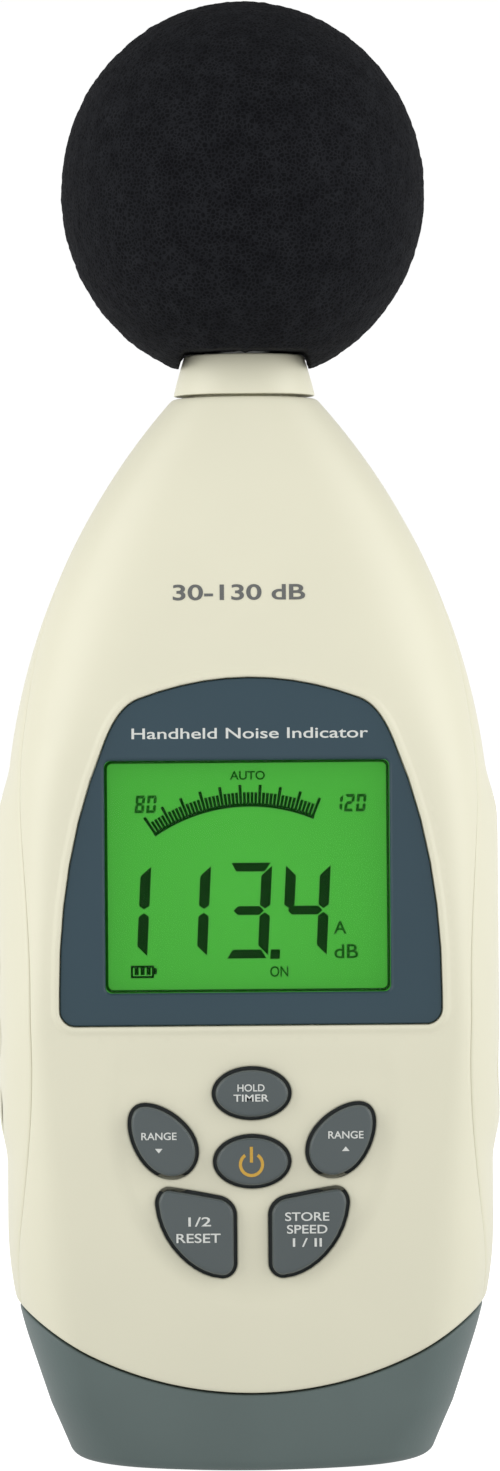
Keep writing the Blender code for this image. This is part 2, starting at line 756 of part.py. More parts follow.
def make_socket(name, body_half_height, nose_radius, bore_radius, pin_radius=0.0):
    side, z, _ = SIDE_HOLES[name]
    inner = 25.5
    shoulder = SIDE_WALL_INSIDE - SIDE_PORT_SETBACK
    nose_end = HALF_WIDTH + 0.1
    x_low, x_high = sorted((side * inner, side * shoulder))
    low = (x_low, BOARD_BACK + GAP, z - body_half_height)
    high = (x_high, SOCKET_BACK, z + body_half_height)
    socket = box(name, low, high, "black_plastic")
    nose_start = shoulder - 0.5
    length = nose_end - nose_start
    start = side * nose_start if side > 0 else side * nose_end
    join(socket, rod(f"{name}_nose", "X", (start, SIDE_PORT_Y, z), length, nose_radius, sides=20))
    bore_depth = 9.0
    start = nose_end - bore_depth if side > 0 else -nose_end - 1
    cut(socket, rod(f"{name}_bore", "X", (start, SIDE_PORT_Y, z), bore_depth + 1, bore_radius, sides=16))
    if pin_radius:
        start = nose_end - bore_depth - 1 if side > 0 else -nose_end + 1
        join(socket, rod(f"{name}_pin", "X", (start, SIDE_PORT_Y, z), bore_depth, pin_radius, sides=12))


def make_usb_socket():
    side, z, _ = SIDE_HOLES["usb_socket"]
    shoulder = SIDE_WALL_INSIDE - SIDE_PORT_SETBACK
    end = HALF_WIDTH + 0.1
    low = (28, BOARD_BACK + GAP, z - 4.6)
    high = (shoulder, SOCKET_BACK - 0.8, z + 4.6)
    socket = box("usb_socket", low, high, "steel")
    y = SIDE_PORT_Y
    join(socket, box("usb_nose", (shoulder - 0.5, y - 1.9, z - 3.8), (end, y + 1.9, z + 3.8)))
    cut(socket, box("usb_mouth", (end - 6.5, y - 1.5, z - 3.4), (end + 1, y + 1.5, z + 3.4)))
    join(socket, box("usb_tongue", (end - 7.5, y - 0.5, z - 2.4), (end - 1, y + 0.3, z + 2.4)))


def make_trimmer():
    _, z, _ = SIDE_HOLES["cal_trimmer"]
    face = -SIDE_WALL_INSIDE + SIDE_PORT_SETBACK
    low = (face, BOARD_BACK + GAP, z - 3.6)
    high = (face + 6, SOCKET_BACK, z + 3.6)
    base = box("cal_trimmer_base", low, high, "black_plastic")
    cut(base, rod("trimmer_well", "X", (face - 1, SIDE_PORT_Y, z), 4.5, 2.6, sides=20))
    screw = rod("cal_trimmer_screw", "X", (0, 0, 0), 3.6, 2.25, "brass", sides=20)
    screw.location = Vector((face - 0.4, SIDE_PORT_Y, z)) * MM
    slot_low = (face - 2, SIDE_PORT_Y - 0.35, z - 3)
    slot_high = (face + 0.5, SIDE_PORT_Y + 0.35, z + 3)
    cut(screw, box("trimmer_slot", slot_low, slot_high))


def make_tripod_insert():
    profile = [(3.2, 6.2), (4.75, 6.2), (4.75, 4.6), (4.2, 4.6), (4.2, 2.4), (4.75, 2.4), (4.75, 0), (3.2, 0)]
    turned("tripod_insert", profile, "brass", axis="Y", at=(0, 11.0, 101), steps=20)


# ---------------------------------------------------------------- microphone and windscreen


def make_microphone():
    tube = [(TUBE_RADIUS, 203), (TUBE_RADIUS, 165.5), (5.4, 165.5), (5.4, 203)]
    turned("mic_tube", tube, "steel", steps=28)
    grid = [
        (0, 211.2), (5.6, 211.2), (TUBE_RADIUS, 210.5), (TUBE_RADIUS, 203.3),
        (5.6, 203.3), (5.6, 210.4), (0, 210.4),
    ]
    cap = turned("mic_grid", grid, "steel", steps=28)
    for i, x in enumerate((-2.8, 0, 2.8), 1):
        half = sqrt(4.6**2 - x**2)
        cut(cap, box(f"grid_slot_{i}", (x - 0.5, -half, 209), (x + 0.5, half, 213)))
    turned("mic_capsule", [(0, 209.6), (4.6, 209.6), (5.0, 209.2), (5.0, 198), (0, 198)], "steel", steps=24)
    box("preamp_board", (-4.2, -0.6, 169), (4.2, 0.6, 197), "circuit_board")


def make_collar():
    bottom = BODY_TOP + GAP
    profile = [
        (BORE_RADIUS, COLLAR_TOP), (9.1, COLLAR_TOP), (9.6, COLLAR_TOP - 0.5), (10.4, 176), (11.3, 173),
        (11.4, bottom), (8.4, bottom), (8.4, 164), (BORE_RADIUS, 164),
    ]
    turned("mic_collar", profile, "cream_plastic", steps=32)


def make_windscreen():
    middle = HEIGHT - FOAM_HALF_HEIGHT
    lowest = asin((FOAM_MOUTH_Z - middle) / FOAM_HALF_HEIGHT)
    count = 14
    profile = []
    for i in range(count + 1):
        angle = pi / 2 + (lowest - pi / 2) * i / count
        profile.append((FOAM_HALF_WIDTH * cos(angle), middle + FOAM_HALF_HEIGHT * sin(angle)))
    profile[0] = (0, HEIGHT)
    mouth = 10.75
    top = COLLAR_TOP + GAP
    profile += [(mouth, FOAM_MOUTH_Z), (mouth, top), (BORE_RADIUS, top), (BORE_RADIUS, 211.6), (0, 211.6)]
    foam = turned("windscreen", profile, "foam", steps=32)
    cut(foam, box("windscreen_saddle", (-mouth, -40, 170), (mouth, 40, top)))


def main():
    below_arc = make_below_arc()
    make_front_cover(below_arc)
    make_rear_cover(below_arc)
    make_base_boot()
    make_display()
    make_board()
    make_keys()
    make_cells()
    make_tray()
    make_contact("contact_positive", [0], at_top=True)
    make_contact("contact_bridge_1", [1, 2], at_top=True)
    make_contact("contact_negative", [3], at_top=True)
    make_contact("contact_bridge_2", [0, 1], at_top=False)
    make_contact("contact_bridge_3", [2, 3], at_top=False)
    make_battery_door()
    make_socket("power_jack", 4.6, 3.5, 2.8, pin_radius=1.0)
    make_socket("output_jack", 3.8, 3.0, 1.8)
    make_usb_socket()
    make_trimmer()
    make_tripod_insert()
    for i, (x, z) in enumerate(CASE_SCREWS, 1):
        make_screw(f"case_screw_{i}", x, z, 13.0 + GAP, 2.8, 1.25, 13.0)
    make_microphone()
    make_collar()
    make_windscreen()


main()
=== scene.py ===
"""Looks of the hand-held sound level meter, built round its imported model.

Lengths are millimetres here, and new_mesh() turns them into metres. +Z runs up the meter and
its face looks along -Y. The formulas of the body's shape are those of the part's own source.
"""

import json
from math import acos, asin, cos, pi, radians, sin, sqrt, tan

import bmesh
import bpy
from mathutils import Matrix, Vector, kdtree, noise
from mathutils.geometry import delaunay_2d_cdt


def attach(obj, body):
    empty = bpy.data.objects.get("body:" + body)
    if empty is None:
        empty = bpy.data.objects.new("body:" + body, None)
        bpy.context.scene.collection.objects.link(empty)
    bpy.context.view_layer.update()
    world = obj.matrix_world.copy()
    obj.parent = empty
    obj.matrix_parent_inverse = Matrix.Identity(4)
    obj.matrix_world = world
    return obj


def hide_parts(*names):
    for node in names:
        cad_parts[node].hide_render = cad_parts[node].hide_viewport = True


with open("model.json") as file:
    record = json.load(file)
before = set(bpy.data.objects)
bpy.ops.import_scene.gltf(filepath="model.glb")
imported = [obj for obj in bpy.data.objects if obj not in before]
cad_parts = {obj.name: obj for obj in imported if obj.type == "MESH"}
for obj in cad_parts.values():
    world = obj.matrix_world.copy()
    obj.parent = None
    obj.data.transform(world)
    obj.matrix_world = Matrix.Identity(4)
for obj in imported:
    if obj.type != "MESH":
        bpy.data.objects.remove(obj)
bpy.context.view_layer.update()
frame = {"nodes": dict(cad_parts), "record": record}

MM = 0.001
WALL = 2.4
SHARP_ANGLE = radians(40)
SEAM = 0.01  # half of the gap at the bottom of the groove between the two shells

# Body
HEIGHT = 236.0
BODY_TOP = 172.0
HALF_WIDTH = 39.0
HALF_DEPTH = 19.0
NECK_HALF_DEPTH = 11.5
SHOULDER_Z = 100.2
SHOULDER_RADIUS = 107.4
FRONT_SHOULDER_Z = 124.0
FOOT_BEND_Z = 40.0
FOOT_BEND_RADIUS = 60.0
FOOT_TAPER = radians(18.5)
FOOT_DEPTH_TAPER = 3.0
FOOT_DEPTH_Z = 27.0
FOOT_EDGE_RADIUS = 1.7
CORNER_POWER = 2.3
GRIP_BULGE = 1.2
GRIP_ENDS = (49.5, 57.5, 105.0, 113.5)  # begins, is full, is still full, ends
GRIP_REACH = 17.5
GRIP_MIDDLE_Z = 70.7
GRIP_FADE_BELOW = 84.0  # the grips would run out this far below their middle
GRIP_SWELL = 9.0
FRONT_FLAT = [
    (0, 17), (14, 25), (43, 28), (70, 31.6), (80, 31.2), (100, 28.6), (114, 24.7),
    (124, 17.5), (133, 11), (146, 5), (160, 2), (172, 0.8),
]
BACK_FLAT = [
    (0, 19), (14, 28), (30, 31), (60, 32.5), (90, 32),
    (110, 28), (126, 19), (140, 10), (156, 3), (172, 0.8),
]
BOOT_ARC_Z = 71.0
BOOT_ARC_RADIUS = 57.6
BOOT_GAP = 0.13  # half of the visible gap along the boot
BOOT_INSET = 0.3
BOOT_BOW = 1.5  # the underside curves up this far towards its ends
BOOT_BOW_REACH = 29.0
BOOT_LIFT = 0.9
BOOT_BOW_FADE = 11.0
CORNER_SCALE = 15.0  # flat millimetres for each radian of a rounded corner

# Shallow bowl round the keys
BOWL_Z = 58.8
BOWL_HALF_WIDTH = 23.75
BOWL_HALF_HEIGHT = 32.3
BOWL_DEPTH = 0.6
BOWL_SLOPE = 2.8
BOWL_FADE = (63.0, 71.0)  # the bowl runs out upwards between these heights

# Display
BEZEL_FRONT = -18.9
DISPLAY_Z = 95.5
VIEW_SIZE = (45.2, 36.8)
VIEW_X = -0.4
LCD_FRONT = -16.1
SEGMENT_FRONT = LCD_FRONT - 0.05
CAPITAL_SHARE = 0.729  # height of a capital in the built-in font, as a share of its size
BEZEL_CLEARANCE = 0.14
BEZEL_THICKNESS = 0.75

KEY_CLEARANCE = 0.56
KEY_TOP = -20.1
KEY_DOME = 0.16
KEY_INK_FRONT = KEY_TOP - 0.02

CASE_SCREWS = [(-24.0, 23.8), (24.0, 23.8), (-17.0, 131.0), (17.0, 131.0)]
SINK_RADIUS = 3.2
SINK_OUTER_RADIUS = 4.2
SINK_FLOOR = 13.0
SINK_END = 10.2
SCREW_HOLE_RADIUS = 1.9
TRIPOD_Z = 101.0
TRIPOD_BORE = 5.05
TRIPOD_BOSS_RADIUS = 7.5
TRIPOD_BOSS_Y = (18, 10.7, 9.5)  # its mouth, its floor and its end
DOOR_HALF_WIDTH = 30.0
DOOR_Z = (31.0, 87.0)
DOOR_HINGE = (17.8, 32.2)
DOOR_THICKNESS = 1.9
LATCH_DEPTH = 0.5  # hollow for a thumb, with ridges across it
LATCH_RIDGE = 0.35
LATCH_RIDGE_STEP = 1.6
SIDE_PORT_Y = -3.6
SIDE_HOLES = [(-1, 58.0, 3.8), (-1, 70.0, 3.3), (-1, 81.0, 2.6), (1, 64.0, 4.9)]

TUBE_RADIUS = 6.35
BORE_RADIUS = 6.65
COLLAR_TOP = 178.9
COLLAR_GAP = 0.35
COLLAR_END = 164
TUBE_WALL = 0.95
TUBE_ENDS = (165.5, 203)
FOAM_HALF_WIDTH = 29.4
FOAM_HALF_HEIGHT = 30.8
FOAM_MIDDLE = HEIGHT - FOAM_HALF_HEIGHT
FOAM_BORE_TOP = 211.6
FOAM_VOXEL = 0.5

# Camera and light
CAMERA_DISTANCE = 1200.0
CAMERA_TARGET = (0.5, 0, 117.8)
CAMERA_TURN = radians(-1.0)
CAMERA_ROLL = radians(-0.45)
VISIBLE_HEIGHT = 236.8
FLOOR_RADIUS = 14000.0
FLOOR_GLOW_REACH = 450.0  # the floor gives its full light this far from the object
NEAR_FLOOR_GLOW = 0.5
FAR_FLOOR_GLOW = 0.82
SKY_DIMS_BETWEEN = (0.12, 0.4)  # as sines of the height above the horizon
OVERHEAD_GLOW = 0.46
SOFT_BOX_PLACE = (600, -170, 380)
SOFT_BOX_SIZE = (500, 600)
SOFT_BOX_TARGET = (0, 0, 110)
SIDE_POWER = 2.1
KEY_LIGHT_PLACE = (0, -300, 360)
KEY_LIGHT_SIZE = (300, 200)
KEY_LIGHT_TARGET = (0, 0, 150)
KEY_POWER = 0.14


# ---------------------------------------------------------------- materials


def put(made, **inputs):
    """Sets a node's own input values."""
    for name, value in inputs.items():
        made.inputs[name.replace("_", " ")].default_value = value


def node(tree, kind, **inputs):
    made = tree.nodes.new(kind)
    put(made, **inputs)
    return made


def new_material(name, roughness, metallic=0.0):
    material = bpy.data.materials.new(name)
    material.use_nodes = True
    shader = material.node_tree.nodes["Principled BSDF"]
    put(shader, Roughness=roughness, Metallic=metallic)
    return material, material.node_tree, shader


def place_noise(tree, scale, detail=2.0, stretch=None):
    """Noise over the object's own coordinates; scale is in features per metre."""
    place = tree.nodes.new("ShaderNodeTexCoord")
    source = place.outputs["Object"]
    if stretch:
        mapping = tree.nodes.new("ShaderNodeMapping")
        put(mapping, Scale=stretch)
        tree.links.new(source, mapping.inputs["Vector"])
        source = mapping.outputs["Vector"]
    pattern = node(tree, "ShaderNodeTexNoise", Scale=scale, Detail=detail)
    tree.links.new(source, pattern.inputs["Vector"])
    return pattern.outputs["Fac"]


def ramp(tree, source, stops):
    made = tree.nodes.new("ShaderNodeValToRGB")
    elements = made.color_ramp.elements
    while len(elements) < len(stops):
        elements.new(0.5)
    for element, (position, colour) in zip(elements, stops):
        element.position = position
        element.color = (*colour, 1)
    tree.links.new(source, made.inputs["Fac"])
    return made.outputs["Color"]


def shade(colour, factor):
    return tuple(min(1, part * factor) for part in colour)


def bump(tree, shader, height, strength, distance):
    made = node(tree, "ShaderNodeBump", Strength=strength, Distance=distance * MM)
    tree.links.new(height, made.inputs["Height"])
    tree.links.new(made.outputs["Normal"], shader.inputs["Normal"])


def moulded_plastic(name, colour, roughness, mottle=0.03, grain=0.02, grain_scale=2600, specular=0.5):
    """Plastic with a fine spark-eroded grain, and a little unevenness in colour and in gloss."""
    material, tree, shader = new_material(name, roughness)
    broad = place_noise(tree, 45)
    tree.links.new(
        ramp(tree, broad, [(0.3, shade(colour, 1 - mottle)), (0.7, shade(colour, 1 + mottle))]),
        shader.inputs["Base Color"],
    )
    gloss = node(tree, "ShaderNodeMapRange", To_Min=roughness - 0.04, To_Max=roughness + 0.05)
    tree.links.new(place_noise(tree, 160, 4), gloss.inputs["Value"])
    tree.links.new(gloss.outputs["Result"], shader.inputs["Roughness"])
    put(shader, Specular_IOR_Level=specular)
    bump(tree, shader, place_noise(tree, grain_scale, 3), 0.5, grain)
    return material


def metal(name, colour, roughness, along=(1, 1, 25)):
    """Metal with fine turning or drawing marks across the direction in which the pattern is long."""
    material, tree, shader = new_material(name, roughness, 1.0)
    marks = place_noise(tree, 900, 3, stretch=along)
    tree.links.new(
        ramp(tree, marks, [(0.3, shade(colour, 0.85)), (0.7, shade(colour, 1.1))]),
        shader.inputs["Base Color"],
    )
    bump(tree, shader, marks, 0.35, 0.02)
    return material


def foam_material():
    """Open-cell foam: a fine net of slightly lighter struts, with painted shade darkening the open pores
    between them.
    """
    material, tree, shader = new_material("foam", 0.95)
    place = tree.nodes.new("ShaderNodeTexCoord")
    cells = node(tree, "ShaderNodeTexVoronoi", Scale=1500.0)
    cells.feature = "DISTANCE_TO_EDGE"
    tree.links.new(place.outputs["Object"], cells.inputs["Vector"])
    # the pore colour is painted shade for the hollows of the open cells; the strut colour is the foam's own
    strut, pore_shade = (0.0110, 0.0117, 0.0142), (0.004, 0.0043, 0.0054)
    net = ramp(tree, cells.outputs["Distance"], [(0.02, strut), (0.22, pore_shade)])
    broad = ramp(tree, place_noise(tree, 320, 5), [(0.3, (0.7, 0.7, 0.72)), (0.7, (1.25, 1.25, 1.22))])
    mixed = tree.nodes.new("ShaderNodeMix")
    mixed.data_type = "RGBA"
    mixed.blend_type = "MULTIPLY"
    put(mixed, Factor=1.0)
    tree.links.new(net, mixed.inputs["A"])
    tree.links.new(broad, mixed.inputs["B"])
    tree.links.new(mixed.outputs["Result"], shader.inputs["Base Color"])
    put(shader, Specular_IOR_Level=0.1)
    bump(tree, shader, cells.outputs["Distance"], 0.8, 0.25)
    return material


def display_material():
    """The lit liquid-crystal panel: green, a little brighter over the lamp in its middle."""
    material, tree, shader = new_material("display_green", 0.3)
    place = tree.nodes.new("ShaderNodeTexCoord")
    across, up = 20, 26  # how fast the glow fades, each way, in fades per metre
    mapping = node(tree, "ShaderNodeMapping", Location=(0, 0, -DISPLAY_Z * MM * up), Scale=(across, 0, up))
    tree.links.new(place.outputs["Object"], mapping.inputs["Vector"])
    glow = tree.nodes.new("ShaderNodeTexGradient")
    glow.gradient_type = "SPHERICAL"
    tree.links.new(mapping.outputs["Vector"], glow.inputs["Vector"])
    colour = ramp(tree, glow.outputs["Fac"], [(0.2, (0.033, 0.20, 0.022)), (0.9, (0.039, 0.228, 0.027))])
    tree.links.new(colour, shader.inputs["Base Color"])
    tree.links.new(colour, shader.inputs["Emission Color"])
    put(shader, Emission_Strength=1.1, Specular_IOR_Level=0.02)
    bump(tree, shader, place_noise(tree, 4000), 0.1, 0.01)
    return material


def window_material():
    material, tree, shader = new_material("clear_plastic", 0.03)
    put(shader, Base_Color=(0.95, 0.99, 0.95, 1), Transmission_Weight=1.0, IOR=1.12)
    bump(tree, shader, place_noise(tree, 60), 0.05, 0.02)
    return material


def printed_ink(name, colour, roughness=0.5, specular=0.5):
    material, tree, shader = new_material(name, roughness)
    put(shader, Specular_IOR_Level=specular)
    tree.links.new(
        ramp(tree, place_noise(tree, 1800, 3), [(0.3, shade(colour, 0.9)), (0.7, colour)]),
        shader.inputs["Base Color"],
    )
    return material


def board_material():
    """Green solder mask over fine copper tracks."""
    material, tree, shader = new_material("circuit_board", 0.4)
    place = tree.nodes.new("ShaderNodeTexCoord")
    tracks = node(tree, "ShaderNodeTexBrick", Scale=260.0, Mortar_Size=0.03, Bias=-0.4)
    put(
        tracks,
        Color1=(0.010, 0.10, 0.035, 1),
        Color2=(0.014, 0.13, 0.045, 1),
        Mortar=(0.03, 0.22, 0.08, 1),
    )
    tree.links.new(place.outputs["Object"], tracks.inputs["Vector"])
    tree.links.new(tracks.outputs["Color"], shader.inputs["Base Color"])
    bump(tree, shader, tracks.outputs["Fac"], 0.3, 0.03)
    return material


CREAM = (0.72, 0.70, 0.545)

MATERIALS = {
    "cream_plastic": moulded_plastic("cream_plastic", CREAM, 0.42, mottle=0.012, grain=0.012),
    "grey_plastic": moulded_plastic(
        "grey_plastic", (0.098, 0.134, 0.128), 0.5, mottle=0.06, grain=0.05, grain_scale=1800
    ),
    "slate_plastic": moulded_plastic(
        "slate_plastic", (0.030, 0.060, 0.079), 0.36, grain=0.008, specular=0.3
    ),
    "key_plastic": moulded_plastic("key_plastic", (0.080, 0.098, 0.100), 0.38, mottle=0.04, specular=0.4),
    "clear_plastic": window_material(),
    "display_green": display_material(),
    "light_guide": moulded_plastic("light_guide", (0.7, 0.85, 0.6), 0.3),
    "dark_rubber": moulded_plastic("dark_rubber", (0.03, 0.03, 0.03), 0.8, mottle=0.1, grain=0.05),
    "circuit_board": board_material(),
    "black_plastic": moulded_plastic("black_plastic", (0.02, 0.02, 0.022), 0.45, mottle=0.08, grain=0.03),
    "foam": foam_material(),
    "steel": metal("steel", (0.40, 0.40, 0.395), 0.36),
    "brass": metal("brass", (0.66, 0.47, 0.19), 0.32, along=(1, 25, 1)),
    "cell_jacket": metal("cell_jacket", (0.16, 0.17, 0.20), 0.38),
}
WHITE_INK = printed_ink("white_ink", (0.66, 0.68, 0.65))
GREY_INK = printed_ink("grey_ink", (0.12, 0.125, 0.12))
AMBER_INK = printed_ink("amber_ink", (0.58, 0.34, 0.04))
SEGMENT_INK = printed_ink("segment_ink", (0.002, 0.04, 0.002), specular=0.02)
FAINT_SEGMENT_INK = printed_ink("faint_segment_ink", (0.010, 0.11, 0.008), specular=0.02)


# ---------------------------------------------------------------- making pieces


def new_object(name, data):
    made = bpy.data.objects.new(name, data)
    bpy.context.scene.collection.objects.link(made)
    return made


def new_mesh(name, bm):
    """A bmesh in millimetres becomes a mesh in metres."""
    bmesh.ops.scale(bm, vec=(MM, MM, MM), verts=bm.verts)
    mesh = bpy.data.meshes.new(name)
    bm.to_mesh(mesh)
    bm.free()
    return mesh


def mesh_piece(name, bm, slot, body="root", replaces=(), material=None):
    """A bmesh in millimetres becomes a piece that rides on a body."""
    mesh = new_mesh(name, bm)
    mesh.shade_smooth()
    mesh.set_sharp_from_angle(angle=SHARP_ANGLE)
    mesh.materials.append(material or MATERIALS[slot])
    piece = new_object(name, mesh)
    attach(piece, body)
    if replaces:
        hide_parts(*replaces)
    return piece


def thicken(piece, thickness):
    wall = piece.modifiers.new("wall", "SOLIDIFY")
    wall.thickness = thickness * MM
    wall.offset = -1


def sheet_bmesh(points, faces, facing=0):
    """Triangles over these points. Facing -1 or 1 turns them all to the front or to the back."""
    bm = bmesh.new()
    verts = [bm.verts.new(point) for point in points]
    for face in faces:
        bm.faces.new([verts[i] for i in face])
    bmesh.ops.delete(bm, geom=[v for v in bm.verts if not v.link_faces], context="VERTS")
    for face in bm.faces:
        face.normal_update()
        if face.normal.y * facing < 0:
            face.normal_flip()
    return bm


def loft_rows(bm, rows):
    """Faces between neighbouring closed rows of equally many points. Returns the rows of vertices."""
    made = [[bm.verts.new(point) for point in row] for row in rows]
    for lower, upper in zip(made, made[1:]):
        count = len(lower)
        for i in range(count):
            j = (i + 1) % count
            bm.faces.new((lower[i], lower[j], upper[j], upper[i]))
    return made


def turned_piece(name, profile, slot, steps=96, axis="Z", at=(0, 0, 0), **options):
    """A closed profile of (radius, height) points turned round an axis."""
    bm = bmesh.new()
    rows = []
    for radius, height in profile:
        ring = []
        for i in range(steps):
            angle = 2 * pi * i / steps
            a, b = radius * cos(angle), radius * sin(angle)
            if axis == "Z":
                point = (a, b, height)
            elif axis == "Y":
                point = (a, height, b)
            else:
                point = (height, a, b)
            ring.append(Vector(at) + Vector(point))
        rows.append(ring)
    made = loft_rows(bm, rows)
    if profile[0][0] > 0.01 and profile[-1][0] > 0.01:
        first, last = made[0], made[-1]
        for i in range(steps):
            j = (i + 1) % steps
            bm.faces.new((last[i], last[j], first[j], first[i]))
    bmesh.ops.remove_doubles(bm, verts=bm.verts, dist=0.0005)
    bmesh.ops.recalc_face_normals(bm, faces=bm.faces)
    return mesh_piece(name, bm, slot, **options)


def rounded_profile(points, radius, steps=4):
    """The (radius, height) profile with each corner rounded by up to this radius."""
    result = []
    count = len(points)
    for i, here in enumerate(points):
        here = Vector(here)
        before = Vector(points[i - 1])
        after = Vector(points[(i + 1) % count])
        if here.x < 0.01:
            result.append(tuple(here))
            continue
        reach_in = min(radius, (before - here).length * 0.45)
        reach_out = min(radius, (after - here).length * 0.45)
        start = here + (before - here).normalized() * reach_in
        end = here + (after - here).normalized() * reach_out
        for k in range(steps + 1):
            t = k / steps
            result.append(tuple((1 - t) ** 2 * start + 2 * t * (1 - t) * here + t * t * end))
    return result


def arc_outline(knots, steps):
    """A closed outline through knots of (x, z, heading in degrees), each pair joined by a near arc."""
    points = []
    for (x0, z0, a0), (x1, z1, a1) in zip(knots, knots[1:] + knots[:1]):
        start = Vector((x0, z0))
        end = Vector((x1, z1))
        turn = abs((a1 - a0 + 180) % 360 - 180)
        if turn < 1:
            points.append(start)
            continue
        handle = (end - start).length / (3 * cos(radians(turn) / 4) ** 2)
        lead = start + handle * Vector((cos(radians(a0)), sin(radians(a0))))
        trail = end - handle * Vector((cos(radians(a1)), sin(radians(a1))))
        count = max(2, round(steps * turn / 90))
        for i in range(count):
            t = i / count
            s = 1 - t
            points.append(s**3 * start + 3 * s * s * t * lead + 3 * s * t * t * trail + t**3 * end)
    return [tuple(point) for point in points]


def resampled(outline, spacing):
    """The closed outline with points added along its longer sides."""
    result = []
    for start, end in zip(outline, outline[1:] + outline[:1]):
        start, end = Vector(start), Vector(end)
        count = max(1, round((end - start).length / spacing))
        result += [tuple(start.lerp(end, i / count)) for i in range(count)]
    return result


def rounded_rectangle(width, height, z_middle, radius, steps=8):
    x = width / 2
    z = height / 2
    knots = [
        (-x + radius, z, 0), (x - radius, z, 0), (x, z - radius, -90), (x, -z + radius, -90),
        (x - radius, -z, 180), (-x + radius, -z, 180), (-x, -z + radius, 90), (-x, z - radius, 90),
    ]
    return [(px, pz + z_middle) for px, pz in arc_outline(knots, steps)]


def circle_outline(x_middle, z_middle, radius, sides=32):
    turn = 2 * pi / sides
    return [(x_middle + radius * cos(i * turn), z_middle + radius * sin(i * turn)) for i in range(sides)]


def ellipse_outline(z_middle, half_width, half_height, sides=64):
    turn = 2 * pi / sides
    return [(half_width * cos(i * turn), z_middle + half_height * sin(i * turn)) for i in range(sides)]


def egg_outline(x_middle, z_middle, half_length, half_breadth, tilt, taper=0.16, sides=64):
    points = []
    for i in range(sides):
        along = cos(2 * pi * i / sides)
        across = sin(2 * pi * i / sides) * (1 - taper * along)
        x = half_length * along * cos(tilt) - half_breadth * across * sin(tilt)
        z = half_length * along * sin(tilt) + half_breadth * across * cos(tilt)
        points.append((x_middle + x, z_middle + z))
    return points


def mirrored(outline):
    return [(-x, z) for x, z in reversed(outline)]


def wedge_outline():
    knots = [
        (-13.0, 46.3, -9), (-5.2, 44.9, -12), (-2.5, 41.8, -90), (-2.5, 34.2, -90), (-5.0, 31.8, 175),
        (-11.6, 35.3, 134), (-15.4, 43.4, 96),
    ]
    return arc_outline(knots, 12)


def bezel_outline():
    right = [
        (0, 127.1, 0), (17.5, 123.8, -20.5), (22.9, 117.2, -67),
        (30.4, 77, -90), (30.4, 74.4, -90), (27.8, 71.8, 180),
    ]
    left = [(-x, z, -heading) for x, z, heading in reversed(right[1:])]
    return arc_outline(right + left, 24)


def is_anticlockwise(outline):
    return sum(x0 * z1 - x1 * z0 for (x0, z0), (x1, z1) in zip(outline, outline[1:] + outline[:1])) > 0


def grown(outline, distance):
    """The outline moved outwards by a distance, or inwards by a negative one."""
    outward = 1 if is_anticlockwise(outline) else -1
    result = []
    for before, here, after in zip(outline[-1:] + outline[:-1], outline, outline[1:] + outline[:1]):
        incoming = (Vector(here) - Vector(before)).normalized()
        outgoing = (Vector(after) - Vector(here)).normalized()
        along = (incoming + outgoing).normalized()
        normal = outward * Vector((along.y, -along.x))
        stretch = 1 / max(0.5, incoming.dot(along))
        result.append(tuple(Vector(here) + normal * distance * stretch))
    return result


def inside(point, outline):
    x, z = point
    found = False
    x0, z0 = outline[-1]
    for x1, z1 in outline:
        if (z0 > z) != (z1 > z) and x < (x1 - x0) * (z - z0) / (z1 - z0) + x0:
            found = not found
        x0, z0 = x1, z1
    return found


class Patch:
    """A flat region with holes, as triangles. Rings of points round its edges carry a rise, for rims."""

    def __init__(self, boundary, spacing):
        self.spacing = spacing
        self.boundary = boundary
        self.holes = []
        self.points = []
        self.rises = []
        self.edges = []

    def ring(self, outline, rise):
        first = len(self.points)
        count = len(outline)
        self.points += [Vector(point) for point in outline]
        self.rises += [rise] * count
        self.edges += [(first + i, first + (i + 1) % count) for i in range(count)]

    def hole(self, rings):
        """Rings of (outline, rise), from the edge of the hole outwards."""
        self.holes.append(rings[0][0])
        for outline, rise in rings:
            self.ring(outline, rise)

    def fill(self):
        """(places, rises, triangles) of the whole region."""
        tree = kdtree.KDTree(len(self.points))
        for i, point in enumerate(self.points):
            tree.insert((*point, 0), i)
        tree.balance()
        low_x = min(x for x, _ in self.boundary)
        high_x = max(x for x, _ in self.boundary)
        low_z = min(z for _, z in self.boundary)
        high_z = max(z for _, z in self.boundary)
        grid = []
        row = 0
        z = low_z
        while z < high_z:
            x = low_x + (self.spacing / 2 if row % 2 else 0)
            while x < high_x:
                _, _, distance = tree.find((x, z, 0))
                if distance > 0.6 * self.spacing and self.covers((x, z)):
                    grid.append(Vector((x, z)))
                x += self.spacing
            z += self.spacing * 0.87
            row += 1
        result = delaunay_2d_cdt(self.points + grid, self.edges, [], 0, 1e-5)
        places, _, faces, origins = result[:4]
        rises = []
        for origin in origins:
            known = [self.rises[i] for i in origin if i < len(self.rises)]
            rises.append(known[0] if known else 0.0)
        kept = []
        for face in faces:
            middle = sum((places[i] for i in face), Vector((0, 0))) / len(face)
            if self.covers(middle):
                kept.append(face)
        return places, rises, kept

    def covers(self, point):
        if not inside(point, self.boundary):
            return False
        return not any(inside(point, hole) for hole in self.holes)


def rim_rings(outline, rim, map_point=lambda x, z: (x, z)):
    """Rings round an outline, one for each (distance, rise) of its rim, mapped into the flat plane."""
    return [([map_point(*point) for point in grown(outline, distance)], rise) for distance, rise in rim]


# ---------------------------------------------------------------- the body's shape


